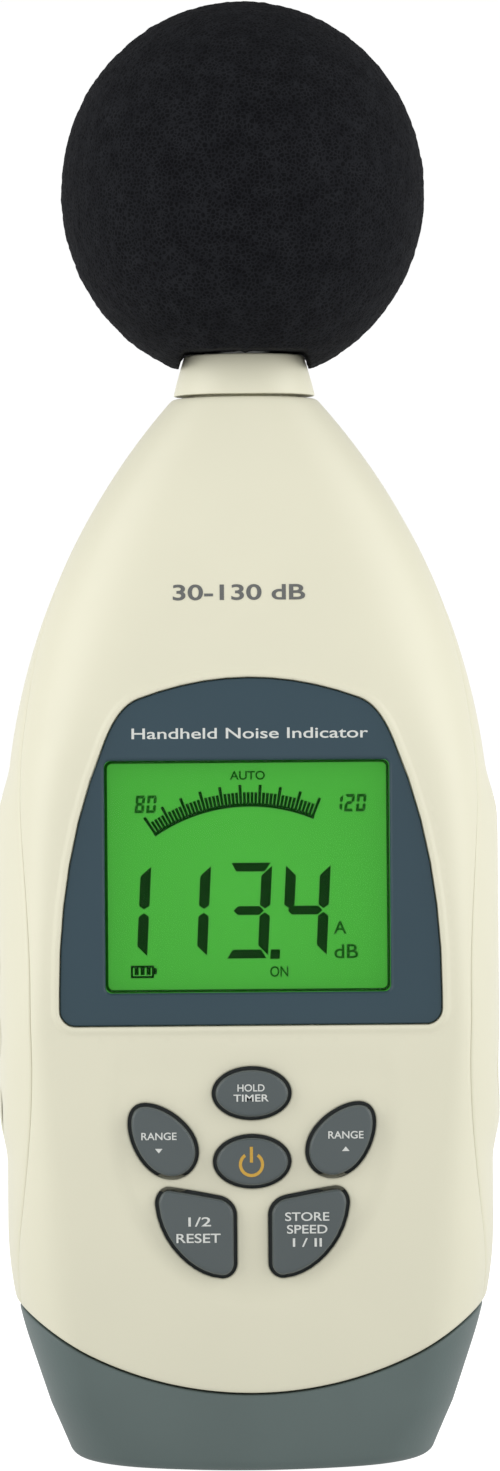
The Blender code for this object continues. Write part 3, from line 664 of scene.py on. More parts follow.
def smooth_table(table, z):
    """A smooth curve through (z, value) points: cubic pieces whose slopes are those of their neighbours."""
    slopes = []
    for i in range(len(table)):
        (z0, v0), (z1, v1) = table[max(i - 1, 0)], table[min(i + 1, len(table) - 1)]
        slopes.append((v1 - v0) / (z1 - z0))
    z = min(max(z, table[0][0]), table[-1][0])
    i = max(k for k in range(len(table) - 1) if table[k][0] <= z)
    (z0, v0), (z1, v1) = table[i], table[i + 1]
    span = z1 - z0
    t = (z - z0) / span
    return (
        v0 * (2 * t**3 - 3 * t**2 + 1)
        + slopes[i] * span * (t**3 - 2 * t**2 + t)
        + v1 * (3 * t**2 - 2 * t**3)
        + slopes[i + 1] * span * (t**3 - t**2)
    )


def arc_drop(distance, radius):
    """How far a circle of this radius falls away from its tangent."""
    return radius - sqrt(radius**2 - distance**2)


def foot_edge(z):
    return arc_drop(FOOT_EDGE_RADIUS - z, FOOT_EDGE_RADIUS) if z < FOOT_EDGE_RADIUS else 0.0


def half_width(z):
    if z > SHOULDER_Z:
        return HALF_WIDTH - arc_drop(z - SHOULDER_Z, SHOULDER_RADIUS)
    if z > FOOT_BEND_Z:
        return HALF_WIDTH
    bend_end = FOOT_BEND_Z - FOOT_BEND_RADIUS * sin(FOOT_TAPER)
    bend = arc_drop(FOOT_BEND_Z - max(z, bend_end), FOOT_BEND_RADIUS)
    return HALF_WIDTH - bend - max(bend_end - z, 0) * tan(FOOT_TAPER) - foot_edge(z)


def half_depth(z):
    if z > FRONT_SHOULDER_Z:
        rise = BODY_TOP - FRONT_SHOULDER_Z
        fall = HALF_DEPTH - NECK_HALF_DEPTH
        return HALF_DEPTH - arc_drop(z - FRONT_SHOULDER_Z, (rise**2 + fall**2) / (2 * fall))
    taper = FOOT_DEPTH_TAPER * max(0, 1 - z / FOOT_DEPTH_Z) ** 2
    return HALF_DEPTH - taper - foot_edge(z)


def grip_fullness(z):
    """1 at the middle of the side grips, falling away above and below."""
    fade = BODY_TOP - GRIP_MIDDLE_Z if z > GRIP_MIDDLE_Z else GRIP_FADE_BELOW
    return cos(pi / 2 * (z - GRIP_MIDDLE_Z) / fade) ** 2


def grip_bulge(z):
    begin, full, still_full, end = GRIP_ENDS
    return GRIP_BULGE * smooth_step(z, begin, full) * (1 - smooth_step(z, still_full, end))


def corner_point(z, angle, inset=0.0, bulge=0.0):
    """A point of the right-hand side: angle 0 is the edge of the flat front, pi the edge of the flat back."""
    flat = smooth_table(FRONT_FLAT if cos(angle) >= 0 else BACK_FLAT, z) - foot_edge(z)
    width = half_width(z) + bulge - inset
    depth = half_depth(z) - inset
    flat = min(flat, width - 0.5)
    power = 2 / CORNER_POWER
    x = flat + (width - flat) * abs(sin(angle)) ** power
    y = -depth * abs(cos(angle)) ** power * (1 if cos(angle) >= 0 else -1)
    return x, y


def corner_angle(z, y):
    """The angle at which the body's side is at this y."""
    share = (abs(y) / half_depth(z)) ** (CORNER_POWER / 2)
    return acos(share) if y < 0 else pi - acos(share)


def arc_crossing(x_at, radius):
    """The height at which a line on the surface, whose x is x_at(z), crosses the boot's arc."""
    low, high = BOOT_ARC_Z - radius, 45.0
    for _ in range(40):
        z = (low + high) / 2
        if x_at(z) > sqrt(radius**2 - (BOOT_ARC_Z - z) ** 2):
            low = z
        else:
            high = z
    return z


class Side:
    """The front or the back of the body, unrolled: s is x on the flat, and goes on round the corner."""

    def __init__(self, is_front):
        self.is_front = is_front
        self.table = FRONT_FLAT if is_front else BACK_FLAT
        self.start = 0.0 if is_front else pi
        self.turn = 1 if is_front else -1

    def flat(self, z):
        return smooth_table(self.table, z)

    def bulge(self, z, reach=0.0):
        """How far the grips stand out here: they swell from the parting line."""
        if self.is_front:
            return 0.0
        return grip_bulge(z) * smooth_step(self.parting(z) - reach, 0, GRIP_SWELL)

    def point(self, s, z):
        reach = abs(s)
        flat = self.flat(z)
        if reach <= flat:
            return Vector((s, -self.turn * half_depth(z), z))
        angle = self.start + self.turn * (reach - flat) / CORNER_SCALE
        x, y = corner_point(z, angle, bulge=self.bulge(z, reach))
        return Vector((x if s > 0 else -x, y, z))

    def normal(self, s, z):
        step = 0.05
        across = self.point(s + step, z) - self.point(s - step, z)
        up = self.point(s, min(z + step, BODY_TOP)) - self.point(s, z - step)
        return self.turn * across.cross(up).normalized()

    def unroll_angle(self, angle, z):
        return self.flat(z) + self.turn * (angle - self.start) * CORNER_SCALE

    def unroll_x(self, x, z):
        """s of the point of the surface that is at x."""
        reach = abs(x)
        flat = self.flat(z)
        if reach <= flat:
            return x, z
        share = min(1, (reach - flat) / (half_width(z) + self.bulge(z) - flat))
        s = flat + CORNER_SCALE * asin(share ** (CORNER_POWER / 2))
        return (s if x > 0 else -s), z

    def parting(self, z):
        """s of the parting line."""
        y = -GRIP_REACH * grip_fullness(z) - self.turn * SEAM
        return self.unroll_angle(corner_angle(z, y), z)

    def outline(self, spacing):
        """The edge of this half of the shell: the parting line, the top and the boot's arc."""
        radius = BOOT_ARC_RADIUS - BOOT_GAP
        top = BODY_TOP
        low = arc_crossing(lambda z: self.point(self.parting(z), z).x, radius)
        count = round((top - low) / spacing)
        side = []
        for i in range(count + 1):
            z = low + (top - low) * i / count
            side.append((self.parting(z), z))
        span = self.parting(low) - self.flat(low)
        bottom = []
        steps = round(span / spacing)
        for i in range(1, steps + 1):
            reach = span * (1 - i / steps)
            z = arc_crossing(lambda z, reach=reach: self.point(self.flat(z) + reach + 1e-6, z).x, radius)
            bottom.append((self.flat(z) + reach, z))
        edge = bottom[-1][0]
        steps = round(edge / spacing)
        for i in range(1, steps):
            x = edge * (1 - i / steps)
            bottom.append((x, BOOT_ARC_Z - sqrt(radius**2 - x**2)))
        right = list(reversed(bottom)) + side
        width = side[-1][0]
        steps = round(2 * width / spacing)
        top_row = [(width - 2 * width * i / steps, top) for i in range(1, steps)]
        middle = [(0.0, BOOT_ARC_Z - radius)]
        return right + top_row + [(-s, z) for s, z in reversed(right)] + middle


def smooth_step(value, start, end):
    t = min(1, max(0, (value - start) / (end - start)))
    return t * t * (3 - 2 * t)


def bowl_depth(x, z):
    """How far the shallow bowl round the keys lies below the flat front."""
    if z > BOWL_FADE[1]:
        return 0.0
    distance = sqrt((x / BOWL_HALF_WIDTH) ** 2 + ((z - BOWL_Z) / BOWL_HALF_HEIGHT) ** 2)
    across = (1 - distance) * BOWL_HALF_WIDTH
    return BOWL_DEPTH * smooth_step(across, 0, BOWL_SLOPE) * (1 - smooth_step(z, *BOWL_FADE))


def shell_piece(name, side, patch, replaces):
    places, rises, faces = patch.fill()
    points = []
    for (s, z), rise in zip(places, rises):
        z = min(z, BODY_TOP)
        point = side.point(s, z)
        if rise:
            point = point + side.normal(s, z) * rise
        if side.is_front:
            point.y += bowl_depth(point.x, point.z)
        points.append(point)
    bm = sheet_bmesh(points, faces)
    bmesh.ops.recalc_face_normals(bm, faces=bm.faces)
    total = sum((face.calc_area() * face.normal.y * side.turn for face in bm.faces))
    if total > 0:
        bmesh.ops.reverse_faces(bm, faces=bm.faces)
    thicken(mesh_piece(name, bm, "cream_plastic", replaces=replaces), WALL)


FRONT_EDGE = [(0.0, -0.26), (0.12, -0.16), (0.35, -0.05), (0.7, 0.0)]
REAR_EDGE = [(0.0, -0.26), (0.15, -0.17), (0.4, -0.06), (0.85, 0.0)]
KEY_RIM = [(0.0, -0.3), (0.07, -0.14), (0.18, -0.04), (0.35, 0.0)]
LIP_RIM = [(0.0, -0.05), (0.1, 0.2), (0.3, 0.36), (0.6, 0.38), (0.9, 0.26), (1.2, 0.09), (1.5, 0.0)]
VIEW_RIM = [(0.0, -0.5), (0.12, -0.34), (0.3, -0.14), (0.5, -0.03), (0.75, 0.0)]
PORT_RIM = [(0.0, -0.35), (0.08, -0.19), (0.22, -0.05), (0.4, 0.0)]

LEVEL_KEY = egg_outline(-14.35, 53.8, 6.85, 4.6, radians(129))
KEYS = {
    "key_max": ellipse_outline(61.1, 6.3, 4.25),
    "key_power": ellipse_outline(50.3, 6.2, 4.3),
    "key_level_down": LEVEL_KEY,
    "key_level_up": mirrored(LEVEL_KEY),
    "key_weighting": wedge_outline(),
    "key_record": mirrored(wedge_outline()),
}


def edged_patch(side, spacing, rim):
    """The unrolled half with its rounded outer edge."""
    outline = side.outline(spacing * 0.7)
    patch = Patch(outline, spacing)
    for distance, rise in rim:
        patch.ring(grown(outline, -distance), rise)
    return patch


def make_front_cover():
    side = Side(is_front=True)
    patch = edged_patch(side, 0.95, FRONT_EDGE)
    patch.hole(rim_rings(resampled(bezel_outline(), 0.8), LIP_RIM, side.unroll_x))
    for outline in KEYS.values():
        patch.hole(rim_rings(resampled(outline, 0.6), KEY_RIM))
    shell_piece("front_shell", side, patch, ["front_cover"])


def port_outline(side, side_of_body, z, radius):
    def unroll(y, height):
        angle = corner_angle(height, y)
        return side_of_body * side.unroll_angle(angle, height), height

    return unroll, circle_outline(SIDE_PORT_Y, z, radius, 40)


def make_rear_cover():
    side = Side(is_front=False)
    patch = edged_patch(side, 1.3, REAR_EDGE)
    for x, z in CASE_SCREWS:
        patch.hole(rim_rings(circle_outline(x, z, SINK_RADIUS), PORT_RIM, side.unroll_x))
    patch.hole(rim_rings(circle_outline(0, TRIPOD_Z, TRIPOD_BORE, 48), PORT_RIM))
    door = rounded_rectangle(
        2 * DOOR_HALF_WIDTH + 0.5, DOOR_Z[1] - DOOR_Z[0] + 0.5, sum(DOOR_Z) / 2, 0.6
    )
    patch.hole(rim_rings(resampled(door, 1.0), KEY_RIM))
    for body_side, z, radius in SIDE_HOLES:
        unroll, circle = port_outline(side, body_side, z, radius)
        patch.hole(rim_rings(circle, PORT_RIM, unroll))
    shell_piece("rear_shell", side, patch, ["rear_cover"])
    for i, (x, z) in enumerate(CASE_SCREWS, 1):
        depth = half_depth(z)
        mouth = depth - 1.2
        cup = [
            (SINK_RADIUS, mouth), (SINK_RADIUS, SINK_FLOOR), (SCREW_HOLE_RADIUS, SINK_FLOOR),
            (SCREW_HOLE_RADIUS, SINK_END), (SINK_OUTER_RADIUS, SINK_END), (SINK_OUTER_RADIUS, mouth),
        ]
        turned_piece(f"screw_sink_{i}", cup, "cream_plastic", 48, "Y", (x, 0, z))
    mouth, floor, end = TRIPOD_BOSS_Y
    boss = [
        (TRIPOD_BORE, mouth), (TRIPOD_BORE, floor), (0, floor),
        (0, end), (TRIPOD_BOSS_RADIUS, end), (TRIPOD_BOSS_RADIUS, mouth),
    ]
    turned_piece("tripod_boss", boss, "cream_plastic", 64, "Y", (0, 0, TRIPOD_Z))


def boot_columns():
    """Lines up the boot's surface, all the way round: each gives (x, y) at a height and an inset."""
    columns = []
    flat_steps, corner_steps = 44, 30

    def flat_line(share, is_front):
        def at(z, inset):
            table = FRONT_FLAT if is_front else BACK_FLAT
            flat = min(smooth_table(table, z) - foot_edge(z), half_width(z) - inset - 0.5)
            depth = half_depth(z) - inset
            return flat * share, (-depth if is_front else depth)

        return at

    def corner_line(angle, sign):
        def at(z, inset):
            x, y = corner_point(z, angle, inset)
            return sign * x, y

        return at

    corner = [pi * i / corner_steps for i in range(corner_steps + 1)]
    flat = [-1 + 2 * i / flat_steps for i in range(1, flat_steps)]
    columns += [corner_line(angle, 1) for angle in corner]
    columns += [flat_line(-share, False) for share in flat]
    columns += [corner_line(angle, -1) for angle in reversed(corner)]
    columns += [flat_line(share, True) for share in flat]
    return columns


def make_boot():
    radius = BOOT_ARC_RADIUS + BOOT_GAP
    edge = 0.5
    tops = []
    columns = boot_columns()
    for at in columns:
        tops.append(arc_crossing(lambda z, at=at: abs(at(z, BOOT_INSET)[0]), radius))
    rows = []
    side_foot = 4.2
    base = [Vector(at(0, BOOT_INSET)) for at in columns]
    for share, z in ((0.02, 1.0), (0.8, 1.0), (0.83, 0.8), (0.84, 0.0), (1.0, 0.0)):
        rows.append([(*(place * share), z) for place in base])
    for z in (0.05, 0.18, 0.4, 0.7, 1.1, FOOT_EDGE_RADIUS, 2.4, 3.2, side_foot):
        rows.append([(*at(z, BOOT_INSET), z) for at in columns])
    steps = 16
    for i in range(1, steps + 1):
        row = []
        for at, top in zip(columns, tops):
            z = side_foot + (top - edge - side_foot) * i / steps
            row.append((*at(z, BOOT_INSET), z))
        rows.append(row)
    for angle in (22, 45, 67, 90):
        drop = edge * (1 - sin(radians(angle)))
        inset = BOOT_INSET + edge * (1 - cos(radians(angle)))
        rows.append([(*at(top - drop, inset), top - drop) for at, top in zip(columns, tops)])
    for down, inset in ((0.0, 2.4), (0.4, 3.1), (5.0, 3.1)):
        rows.append([(*at(top - down, BOOT_INSET + inset), top - down) for at, top in zip(columns, tops)])
    bm = bmesh.new()
    made = loft_rows(bm, rows)
    bm.faces.new(made[0])
    bmesh.ops.recalc_face_normals(bm, faces=bm.faces)
    if sum(face.calc_area() * face.normal.dot(face.calc_center_median()) for face in bm.faces) < 0:
        bmesh.ops.reverse_faces(bm, faces=bm.faces)
    for vertex in bm.verts:
        lift = BOOT_LIFT + BOOT_BOW * (vertex.co.x / BOOT_BOW_REACH) ** 2
        vertex.co.z += lift * max(0.0, 1 - vertex.co.z / BOOT_BOW_FADE)
    mesh_piece("boot", bm, "grey_plastic", replaces=["base_boot"])


# ---------------------------------------------------------------- display


def view_outline(radius):
    return [(x + VIEW_X, z) for x, z in rounded_rectangle(*VIEW_SIZE, DISPLAY_Z, radius)]


def make_bezel():
    outer = resampled(grown(bezel_outline(), -BEZEL_CLEARANCE), 1.2)
    patch = Patch(outer, 3.0)
    for distance, rise in ((0.0, -0.25), (0.06, -0.12), (0.15, -0.03), (0.3, 0.0)):
        patch.ring(grown(outer, -distance), rise)
    patch.hole(rim_rings(resampled(view_outline(1.0), 1.5), VIEW_RIM))
    places, rises, faces = patch.fill()
    bm = sheet_bmesh([(x, BEZEL_FRONT - rise, z) for (x, z), rise in zip(places, rises)], faces, -1)
    thicken(mesh_piece("bezel", bm, "slate_plastic", replaces=["display_bezel"]), BEZEL_THICKNESS)


def flat_shape(bm, corners, y_front, thickness=0.03):
    """One raised flat shape of (x, z) corners."""
    front = [bm.verts.new((x, y_front, z)) for x, z in corners]
    back = [bm.verts.new((x, y_front + thickness, z)) for x, z in corners]
    faces = [bm.faces.new(front), bm.faces.new(back)]
    for i in range(len(corners)):
        j = (i + 1) % len(corners)
        faces.append(bm.faces.new((front[i], front[j], back[j], back[i])))
    bmesh.ops.recalc_face_normals(bm, faces=faces)


def sector(bm, centre, angles, radii, y_front):
    """A raised piece of a ring, between two angles and two radii."""
    (start, end), (inner, outer) = angles, radii
    corners = []
    for angle, r in ((start, inner), (end, inner), (end, outer), (start, outer)):
        corners.append((centre[0] + r * cos(angle), centre[1] + r * sin(angle)))
    flat_shape(bm, corners, y_front)


FIGURES = {"0": "abcdef", "1": "bc", "2": "abged", "3": "abgcd", "4": "fgbc", "8": "abcdefg"}


def segment_corners(letter, height, width, upright, level):
    """Corners of one bar of a seven-segment figure whose lower left corner is at the origin.

    Upright bars are upright wide, and level bars are level thick.
    """
    middle = height / 2
    if letter == "g":
        left, right = 0.35 * upright, width - 0.6 * upright
        half = level / 2
        return [
            (left, middle), (left + half, middle + half), (right - half, middle + half),
            (right, middle), (right - half, middle - half), (left + half, middle - half),
        ]
    if letter in "ad":
        left, right = -0.05 * upright, width - 0.15 * upright
        foot_left, foot_right = left + 0.5 * upright, right - 0.55 * upright
        corners = [(left, height), (right, height), (foot_right, height - level), (foot_left, height - level)]
        return corners if letter == "a" else [(x, height - z) for x, z in corners]
    tip = middle + 0.18 * upright
    shoulder = tip + 0.35 * upright
    end = height - 0.3 * upright
    corners = [
        (width, shoulder), (width, end), (width - upright, end - 0.95 * upright),
        (width - upright, shoulder), (width - 0.5 * upright, tip),
    ]
    if letter in "ce":
        corners = [(x, height - z) for x, z in corners]
    if letter in "ef":
        corners = [(width - x, z) for x, z in corners]
    return corners


def add_figure(bm, figure, x, z, height, width, upright, level, slant=radians(3)):
    for letter in FIGURES[figure]:
        corners = segment_corners(letter, height, width, upright, level)
        placed = [(x + px + pz * tan(slant), z + pz) for px, pz in corners]
        flat_shape(bm, placed, SEGMENT_FRONT)


def make_reading():
    """The large figures and their point."""
    bm = bmesh.new()
    base, height = 82.4, 15.2
    for figure, x, width in (("1", -22.8, 6.4), ("1", -13.3, 6.4), ("3", -3.6, 6.4), ("4", 5.0, 7.1)):
        add_figure(bm, figure, x, base, height, width, upright=1.65, level=1.4)
    dot = [(3.15, 82.3), (4.65, 82.3), (4.75, 83.8), (3.25, 83.8)]
    flat_shape(bm, dot, SEGMENT_FRONT)
    mesh_piece("readout_figures", bm, "display_green", material=SEGMENT_INK)


def make_scale():
    """The arc of fine bars with its end figures."""
    bm = bmesh.new()
    centre, radius = (0.0, 80.2), 26.9
    first, last = radians(124.6), radians(67.2)
    bars = 46
    step = (last - first) / bars
    for i in range(bars):
        start = first + step * i
        sector(bm, centre, (start, start + step), (radius - 0.6, radius), SEGMENT_FRONT)
        reach = 2.9 if i % 5 == 0 else 1.7
        bar = (start + step * 0.1, start + step * 0.85)
        sector(bm, centre, bar, (radius, radius + reach), SEGMENT_FRONT)
    mesh_piece("readout_scale", bm, "display_green", material=SEGMENT_INK)
    bm = bmesh.new()
    for figures, x in (("80", -18.25), ("120", 13.2)):
        for i, figure in enumerate(figures):
            add_figure(bm, figure, x + 1.85 * i, 105.6, 2.8, 1.5, 0.48, 0.48, slant=radians(6))
    mesh_piece("readout_range", bm, "display_green", material=FAINT_SEGMENT_INK)


def make_display_edge_shade():
    """Painted shade: a thin dark ring just inside the display's edge, standing for the shadow of the window's
    frame on the panel.
    """
    # the ring is painted shade for the frame's shadow, not a print on the panel
    outer = view_outline(1.2)
    inner = grown(outer, -0.45)
    bm = bmesh.new()
    for i in range(len(outer)):
        k = (i + 1) % len(outer)
        flat_shape(bm, [outer[i], outer[k], inner[k], inner[i]], LCD_FRONT - 0.03)
    mesh_piece("display_edge_shade", bm, "display_green", material=FAINT_SEGMENT_INK)


def make_battery_mark():
    bm = bmesh.new()
    left, low, width, height, line = -19.0, 79.4, 3.7, 2.0, 0.35
    bars = [
        (0, 0, width, line), (0, height - line, width, line), (0, 0, line, height),
        (width - line, 0, line, height), (width, 0.6, 0.45, 1.0),
    ]
    bars += [(0.6 + 0.95 * i, 0.5, 0.65, 1.2) for i in range(3)]
    for x, z, bar_width, bar_height in bars:
        x, z = left + x, low + z
        corners = [(x, z), (x + bar_width, z), (x + bar_width, z + bar_height), (x, z + bar_height)]
        flat_shape(bm, corners, SEGMENT_FRONT)
    mesh_piece("readout_battery", bm, "display_green", material=SEGMENT_INK)


def text_piece(name, words, x, z, height, y, material, body="root", width=None, bold=0.02):
    """Generic lettering, centred on (x, z) with capitals of this height, facing forward."""
    curve = bpy.data.curves.new(name, "FONT")
    curve.body = words
    curve.align_x = "CENTER"
    curve.align_y = "CENTER"
    curve.size = height / CAPITAL_SHARE * MM
    curve.space_line = 0.95
    curve.offset = bold * MM
    curve.extrude = 0.012 * MM
    curve.materials.append(material)
    piece = new_object(name, curve)
    piece.rotation_euler = (pi / 2, 0, 0)
    piece.location = Vector((x, y, z)) * MM
    if width:
        bpy.context.view_layer.update()
        piece.scale.x = width * MM / piece.dimensions.x
    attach(piece, body)
    return piece


def body_label(name, words, x, z, height, width):
    """Dark lettering that follows the front of the body."""
    flat = text_piece(f"{name}_flat", words, 0, 0, height, 0, GREY_INK, "root", width, 0.06)
    bpy.context.view_layer.update()
    evaluated = flat.evaluated_get(bpy.context.evaluated_depsgraph_get())
    mesh = bpy.data.meshes.new_from_object(evaluated)
    mesh.transform(flat.matrix_world)
    bpy.data.objects.remove(flat)
    side = Side(is_front=True)
    bm = bmesh.new()
    bm.from_mesh(mesh)
    bpy.data.meshes.remove(mesh)
    bmesh.ops.triangulate(bm, faces=bm.faces)
    for vertex in bm.verts:
        s, z_here = side.unroll_x(x + vertex.co.x / MM, z + vertex.co.z / MM)
        lift = 0.04 - vertex.co.y / MM
        vertex.co = side.point(s, z_here) + side.normal(s, z_here) * lift
    mesh_piece(name, bm, "cream_plastic", material=GREY_INK)


def make_display_lettering():
    for name, words, x, z, height, width in (
        ("readout_mode", "AUTO", -0.2, 111.4, 1.4, 5.6),
        ("readout_weighting", "A", 14.3, 87.1, 2.1, None),
        ("readout_unit", "dB", 15.2, 83.3, 2.3, 3.8),
        ("readout_mark", "ON", 4.6, 80.2, 1.7, 2.9),
    ):
        text_piece(
            name, words, x, z, height, SEGMENT_FRONT, FAINT_SEGMENT_INK, "root", width, 0.04
        )
    words = "Handheld Noise Indicator"
    front = BEZEL_FRONT - 0.01
    text_piece("title", words, 0, 118.1, 1.75, front, WHITE_INK, width=37.5)
    body_label("range_label", "30-130 dB", -1.5, 140.4, 2.5, 21.0)


# ---------------------------------------------------------------- keys


def middle_of(outline):
    return (
        sum(x for x, _ in outline) / len(outline),
        sum(z for _, z in outline) / len(outline),
    )


# (inset, y) of a key's side, from the back of its flange to the rim of its top
KEY_SIDE = [
    (-0.95, -15.6), (-0.95, -16.25), (0.0, -16.3), (0.0, -19.2),
    (0.03, -19.45), (0.12, -19.68), (0.28, -19.84), (0.5, -19.94),
]


def make_key(name, opening):
    x_middle, z_middle = middle_of(opening)
    edge = resampled(grown(opening, -KEY_CLEARANCE), 0.5)
    rows = []
    for inset, y in KEY_SIDE:
        rows.append([(x, y, z) for x, z in grown(edge, -inset)])
    rim = grown(edge, -KEY_SIDE[-1][0])
    for share in (0.94, 0.86, 0.74, 0.58, 0.4, 0.2, 0.02):
        dome = KEY_TOP + KEY_DOME * share**3
        row = [(x_middle + (x - x_middle) * share, dome, z_middle + (z - z_middle) * share) for x, z in rim]
        rows.append(row)
    bm = bmesh.new()
    made = loft_rows(bm, rows)
    bm.faces.new(made[0])
    bm.faces.new(made[-1])
    bmesh.ops.recalc_face_normals(bm, faces=bm.faces)
    mesh_piece(f"{name}_cap", bm, "key_plastic", body=name, replaces=[name])


# Name, key, words, x, z, height of the capitals and width
LEGENDS = [
    ("hold", "key_max", "HOLD", -0.15, 61.95, 1.15, 4.3),
    ("timer", "key_max", "TIMER", -0.15, 60.35, 1.15, 5.6),
    ("range_down", "key_level_down", "RANGE", -14.8, 54.4, 1.2, 5.6),
    ("range_up", "key_level_up", "RANGE", 14.8, 54.4, 1.2, 5.6),
    ("curve", "key_weighting", "1/2", -8.7, 40.8, 1.5, 3.6),
    ("reset", "key_weighting", "RESET", -8.7, 38.2, 1.5, 7.0),
    ("store", "key_record", "STORE", 8.6, 41.5, 1.4, 7.0),
    ("speed", "key_record", "SPEED", 8.6, 39.5, 1.4, 6.4),
    ("speeds", "key_record", "I / II", 8.6, 37.4, 1.4, 4.6),
]


def triangle_piece(name, key, x, z, size, up):
    bm = bmesh.new()
    tip = size if up else -size
    low = z - tip * 0.5
    flat_shape(bm, [(x - size, low), (x + size, low), (x, z + tip * 0.7)], KEY_INK_FRONT)
    mesh_piece(name, bm, "key_plastic", body=key, material=WHITE_INK)


def make_power_symbol():
    x, z, radius = -0.15, 49.9, 1.75
    bm = bmesh.new()
    half = 0.25
    steps = 36
    open_half = radians(34)
    first = pi / 2 + open_half
    last = pi / 2 + 2 * pi - open_half
    step = (last - first) / steps
    for i in range(steps):
        angles = (first + step * i, first + step * (i + 1))
        sector(bm, (x, z), angles, (radius - half, radius + half), KEY_INK_FRONT)
    low, high = z + 0.3, z + 2.8
    flat_shape(bm, [(x - half, low), (x + half, low), (x + half, high), (x - half, high)], KEY_INK_FRONT)
    mesh_piece("power_symbol", bm, "key_plastic", body="key_power", material=AMBER_INK)


def make_keys():
    for name, outline in KEYS.items():
        make_key(name, outline)
    for name, key, words, x, z, height, width in LEGENDS:
        front = KEY_TOP - 0.015
        text_piece(f"legend_{name}", words, x, z, height, front, WHITE_INK, key, width)
    triangle_piece("arrow_down", "key_level_down", -14.8, 52.2, 0.6, up=False)
    triangle_piece("arrow_up", "key_level_up", 14.8, 52.2, 0.6, up=True)
    make_power_symbol()


# ---------------------------------------------------------------- battery door


def make_battery_door():
    hinge_y, hinge_z = DOOR_HINGE
    radius = HALF_DEPTH - hinge_y
    low, high = DOOR_Z
    outline = rounded_rectangle(2 * DOOR_HALF_WIDTH, high - low, (high + low) / 2, 0.5)
    boundary = resampled(outline, 0.9)
    patch = Patch(boundary, 1.4)
    for distance, rise in KEY_RIM:
        patch.ring(grown(boundary, -distance), rise)
    latch_z = high - 7.4
    latch = resampled(rounded_rectangle(22.0, 10.0, latch_z, 4.9, 10), 0.7)
    for distance, rise in ((0.0, 0.0), (0.35, -0.12), (0.8, -0.42), (1.2, -LATCH_DEPTH)):
        patch.ring(grown(latch, -distance), rise)
    inner = grown(latch, -1.2)
    places, rises, faces = patch.fill()
    points = []
    for (x, z), rise in zip(places, rises):
        if not rise and inside((x, z), inner):
            ridge = max(0.0, cos(2 * pi * (z - latch_z) / LATCH_RIDGE_STEP))
            rise = LATCH_RIDGE * ridge * smooth_step(5.6 - abs(z - latch_z), 1.6, 2.4) - LATCH_DEPTH
        below = max(0.0, hinge_z - z)
        drop = arc_drop(min(below, radius * 0.98), radius) if below else 0.0
        points.append((x, HALF_DEPTH + rise - drop, z))
    bm = sheet_bmesh(points, faces, 1)
    door = mesh_piece("door_panel", bm, "cream_plastic", body="battery_door", replaces=["battery_door"])
    thicken(door, DOOR_THICKNESS)
    end = DOOR_HALF_WIDTH + 1.2
    pin = [(0, -end), (0.6, -end), (0.6, end), (0, end)]
    turned_piece("door_pins", pin, "cream_plastic", 24, "X", (0, hinge_y, hinge_z), body="battery_door")


# ---------------------------------------------------------------- microphone and windscreen


def make_collar():
    foot = BODY_TOP + COLLAR_GAP
    profile = rounded_profile(
        [
            (BORE_RADIUS, COLLAR_TOP), (9.6, COLLAR_TOP), (10.1, 177.2), (10.9, 174.4),
            (11.4, foot), (8.4, foot), (8.4, COLLAR_END), (BORE_RADIUS, COLLAR_END),
        ],
        0.35,
    )
    turned_piece("collar", profile, "cream_plastic", replaces=["mic_collar"])


def make_microphone():
    low, high = TUBE_ENDS
    inner = TUBE_RADIUS - TUBE_WALL
    tube = rounded_profile([(TUBE_RADIUS, high), (TUBE_RADIUS, low), (inner, low), (inner, high)], 0.25)
    turned_piece("microphone_tube", tube, "steel", replaces=["mic_tube"])


def foam_tools():
    """What is cut from the foam ball: a saddle-shaped mouth over the collar, and the bore."""
    saddle_top = COLLAR_TOP + 0.3
    section = [(0.02, 160), (12.7, 160), (11.15, 174.4), (9.85, saddle_top), (0.02, saddle_top)]
    half = [(x, z) for x, z in rounded_profile(section, 0.4) if x > 0.015]
    outline = half + [(-x, z) for x, z in reversed(half)]
    mouth = bmesh.new()
    ends = loft_rows(mouth, [[(x, y, z) for x, z in outline] for y in (-45, 45)])
    for end in ends:
        mouth.faces.new(end)
    bore = bmesh.new()
    radii = {"radius1": BORE_RADIUS, "radius2": BORE_RADIUS}
    bmesh.ops.create_cone(bore, cap_ends=True, segments=64, depth=60, **radii)
    bmesh.ops.translate(bore, vec=(0, 0, FOAM_BORE_TOP - 30), verts=bore.verts)
    for bm in (mouth, bore):
        bmesh.ops.recalc_face_normals(bm, faces=bm.faces)
    return [new_object("foam_tool", new_mesh("foam_tool", bm)) for bm in (mouth, bore)]


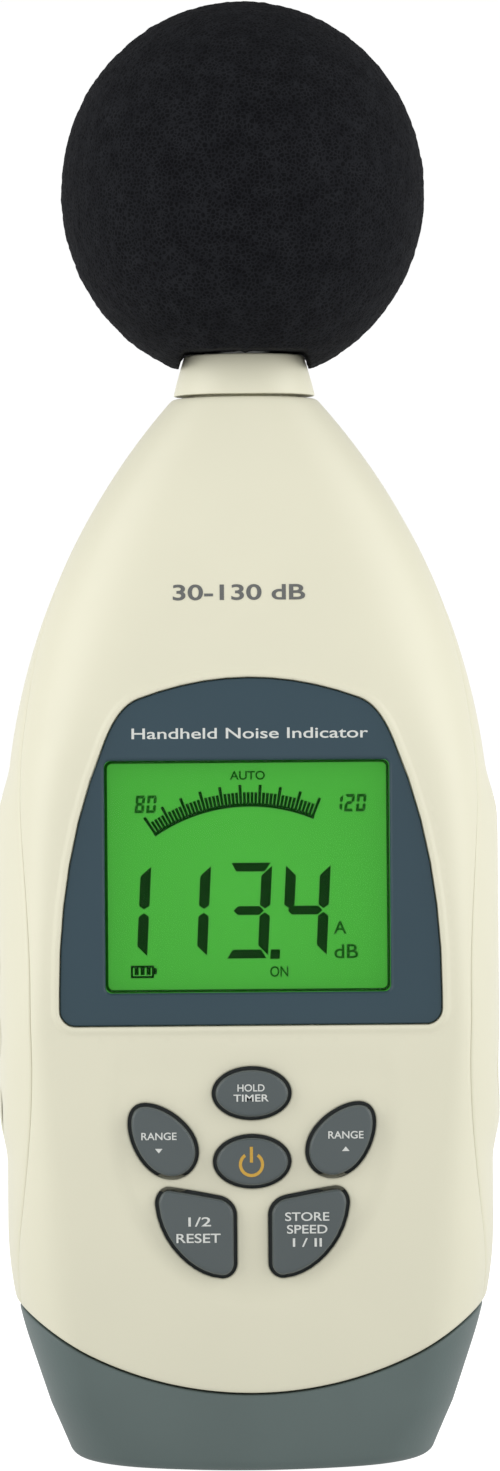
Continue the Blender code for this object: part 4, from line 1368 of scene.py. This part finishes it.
def make_windscreen():
    """A ball with its mouth and bore, remeshed finely and roughened into open-cell foam."""
    bm = bmesh.new()
    bmesh.ops.create_uvsphere(bm, u_segments=96, v_segments=64, radius=1)
    size = (FOAM_HALF_WIDTH - 0.1, FOAM_HALF_WIDTH - 0.1, FOAM_HALF_HEIGHT - 0.1)
    bmesh.ops.scale(bm, vec=size, verts=bm.verts)
    bmesh.ops.translate(bm, vec=(0, 0, FOAM_MIDDLE), verts=bm.verts)
    ball = mesh_piece("foam_ball", bm, "foam", body="windscreen", replaces=["windscreen"])
    tools = foam_tools()
    for tool in tools:
        cut = ball.modifiers.new("cut", "BOOLEAN")
        cut.operation = "DIFFERENCE"
        cut.object = tool
        cut.solver = "EXACT"
    remesh = ball.modifiers.new("remesh", "REMESH")
    remesh.mode = "VOXEL"
    remesh.voxel_size = FOAM_VOXEL * MM
    bpy.context.view_layer.update()
    evaluated = ball.evaluated_get(bpy.context.evaluated_depsgraph_get())
    fine = bpy.data.meshes.new_from_object(evaluated)
    ball.modifiers.clear()
    for tool in tools:
        bpy.data.meshes.remove(tool.data)
    fine.materials.clear()
    fine.materials.append(MATERIALS["foam"])
    ball.data = fine
    fine.shade_smooth()
    bpy.context.view_layer.update()
    normals = [vertex.normal.copy() for vertex in fine.vertices]
    for vertex, normal in zip(fine.vertices, normals):
        place = vertex.co / MM
        pores = noise.noise(place * 1.05) * 0.16 + noise.noise(place * 0.4 + Vector((7, 3, 1))) * 0.10
        vertex.co += normal * (pores - 0.1) * MM


# ---------------------------------------------------------------- carried-over nodes, stage and camera


def dress_nodes():
    """Every CAD node that stays in sight or behind the shells gets its slot's own material."""
    for row in frame["record"]["subparts"]:
        piece = frame["nodes"][row["node"]]
        piece.data.materials.clear()
        piece.data.materials.append(MATERIALS[row["material_slot"]])


def only_seen(tree, unseen, seen=1.0):
    """A strength of seen for what the camera meets first, and of the socket unseen for all other light."""
    path = tree.nodes.new("ShaderNodeLightPath")
    mix = tree.nodes.new("ShaderNodeMix")
    tree.links.new(path.outputs["Is Camera Ray"], mix.inputs["Factor"])
    tree.links.new(unseen, mix.inputs["A"])
    put(mix, B=seen)
    return mix.outputs["Result"]


def make_stage():
    """A wide white floor that gives less light close to the object."""
    material, tree, shader = new_material("pale_floor", 0.9)
    floor_colour = ramp(tree, place_noise(tree, 3), [(0.3, (0.29, 0.29, 0.29)), (0.7, (0.31, 0.31, 0.31))])
    tree.links.new(floor_colour, shader.inputs["Base Color"])
    put(shader, Specular_IOR_Level=0.05, Emission_Color=(1, 1, 1, 1))
    place = tree.nodes.new("ShaderNodeTexCoord")
    distance = tree.nodes.new("ShaderNodeVectorMath")
    distance.operation = "LENGTH"
    tree.links.new(place.outputs["Object"], distance.inputs["Vector"])
    reach = FLOOR_GLOW_REACH * MM
    glow = node(tree, "ShaderNodeMapRange", From_Max=reach, To_Min=NEAR_FLOOR_GLOW, To_Max=FAR_FLOOR_GLOW)
    tree.links.new(distance.outputs["Value"], glow.inputs["Value"])
    tree.links.new(only_seen(tree, glow.outputs["Result"]), shader.inputs["Emission Strength"])
    bm = bmesh.new()
    bmesh.ops.create_circle(bm, cap_ends=True, segments=64, radius=FLOOR_RADIUS)
    mesh = new_mesh("floor", bm)
    mesh.materials.append(material)
    new_object("floor", mesh)


def make_sky():
    """White all round, but giving less light from overhead, so that the lamps shape the body."""
    world = bpy.data.worlds.new("studio")
    world.use_nodes = True
    tree = world.node_tree
    background = tree.nodes["Background"]
    put(background, Color=(1, 1, 1, 1))
    place = tree.nodes.new("ShaderNodeTexCoord")
    parts = tree.nodes.new("ShaderNodeSeparateXYZ")
    tree.links.new(place.outputs["Generated"], parts.inputs["Vector"])
    glow = tree.nodes.new("ShaderNodeMapRange")
    put(
        glow,
        From_Min=SKY_DIMS_BETWEEN[0],
        From_Max=SKY_DIMS_BETWEEN[1],
        To_Min=1.0,
        To_Max=OVERHEAD_GLOW,
    )
    tree.links.new(parts.outputs["Z"], glow.inputs["Value"])
    tree.links.new(only_seen(tree, glow.outputs["Result"], 1.02), background.inputs["Strength"])
    bpy.context.scene.world = world


def area_light(name, place, target, size, power):
    light = bpy.data.lights.new(name, "AREA")
    light.shape = "RECTANGLE"
    light.size, light.size_y = (side * MM for side in size)
    light.energy = power
    lamp = new_object(name, light)
    lamp.location = Vector(place) * MM
    aim = Vector(target) - Vector(place)
    lamp.rotation_mode = "QUATERNION"
    lamp.rotation_quaternion = aim.to_track_quat("-Z", "Y")
    lamp.visible_camera = False


def make_lights():
    x, y, z = SOFT_BOX_PLACE
    for name, place in (("left", (-x, y, z)), ("right", (x, y, z))):
        area_light(f"soft_box_{name}", place, SOFT_BOX_TARGET, SOFT_BOX_SIZE, SIDE_POWER)
    area_light("key_light", KEY_LIGHT_PLACE, KEY_LIGHT_TARGET, KEY_LIGHT_SIZE, KEY_POWER)


def make_camera():
    camera = bpy.data.cameras.new("camera")
    camera.sensor_fit = "VERTICAL"
    camera.sensor_height = 36.0
    camera.lens = camera.sensor_height * CAMERA_DISTANCE / VISIBLE_HEIGHT
    camera.clip_end = 20
    holder = new_object("camera", camera)
    back = Vector((sin(CAMERA_TURN), -cos(CAMERA_TURN), 0))
    holder.location = (Vector(CAMERA_TARGET) + back * CAMERA_DISTANCE) * MM
    facing = (-back).to_track_quat("-Z", "Y").to_matrix()
    roll = Matrix.Rotation(CAMERA_ROLL, 3, "Z")
    holder.rotation_mode = "QUATERNION"
    holder.rotation_quaternion = (facing @ roll).to_quaternion()
    bpy.context.scene.camera = holder
    bpy.context.scene.view_settings.view_transform = "Standard"


def main():
    make_camera()
    make_stage()
    make_sky()
    make_lights()
    dress_nodes()
    make_front_cover()
    make_rear_cover()
    make_boot()
    make_bezel()
    make_reading()
    make_scale()
    make_display_edge_shade()
    make_battery_mark()
    make_display_lettering()
    make_keys()
    make_battery_door()
    make_collar()
    make_microphone()
    make_windscreen()


main()
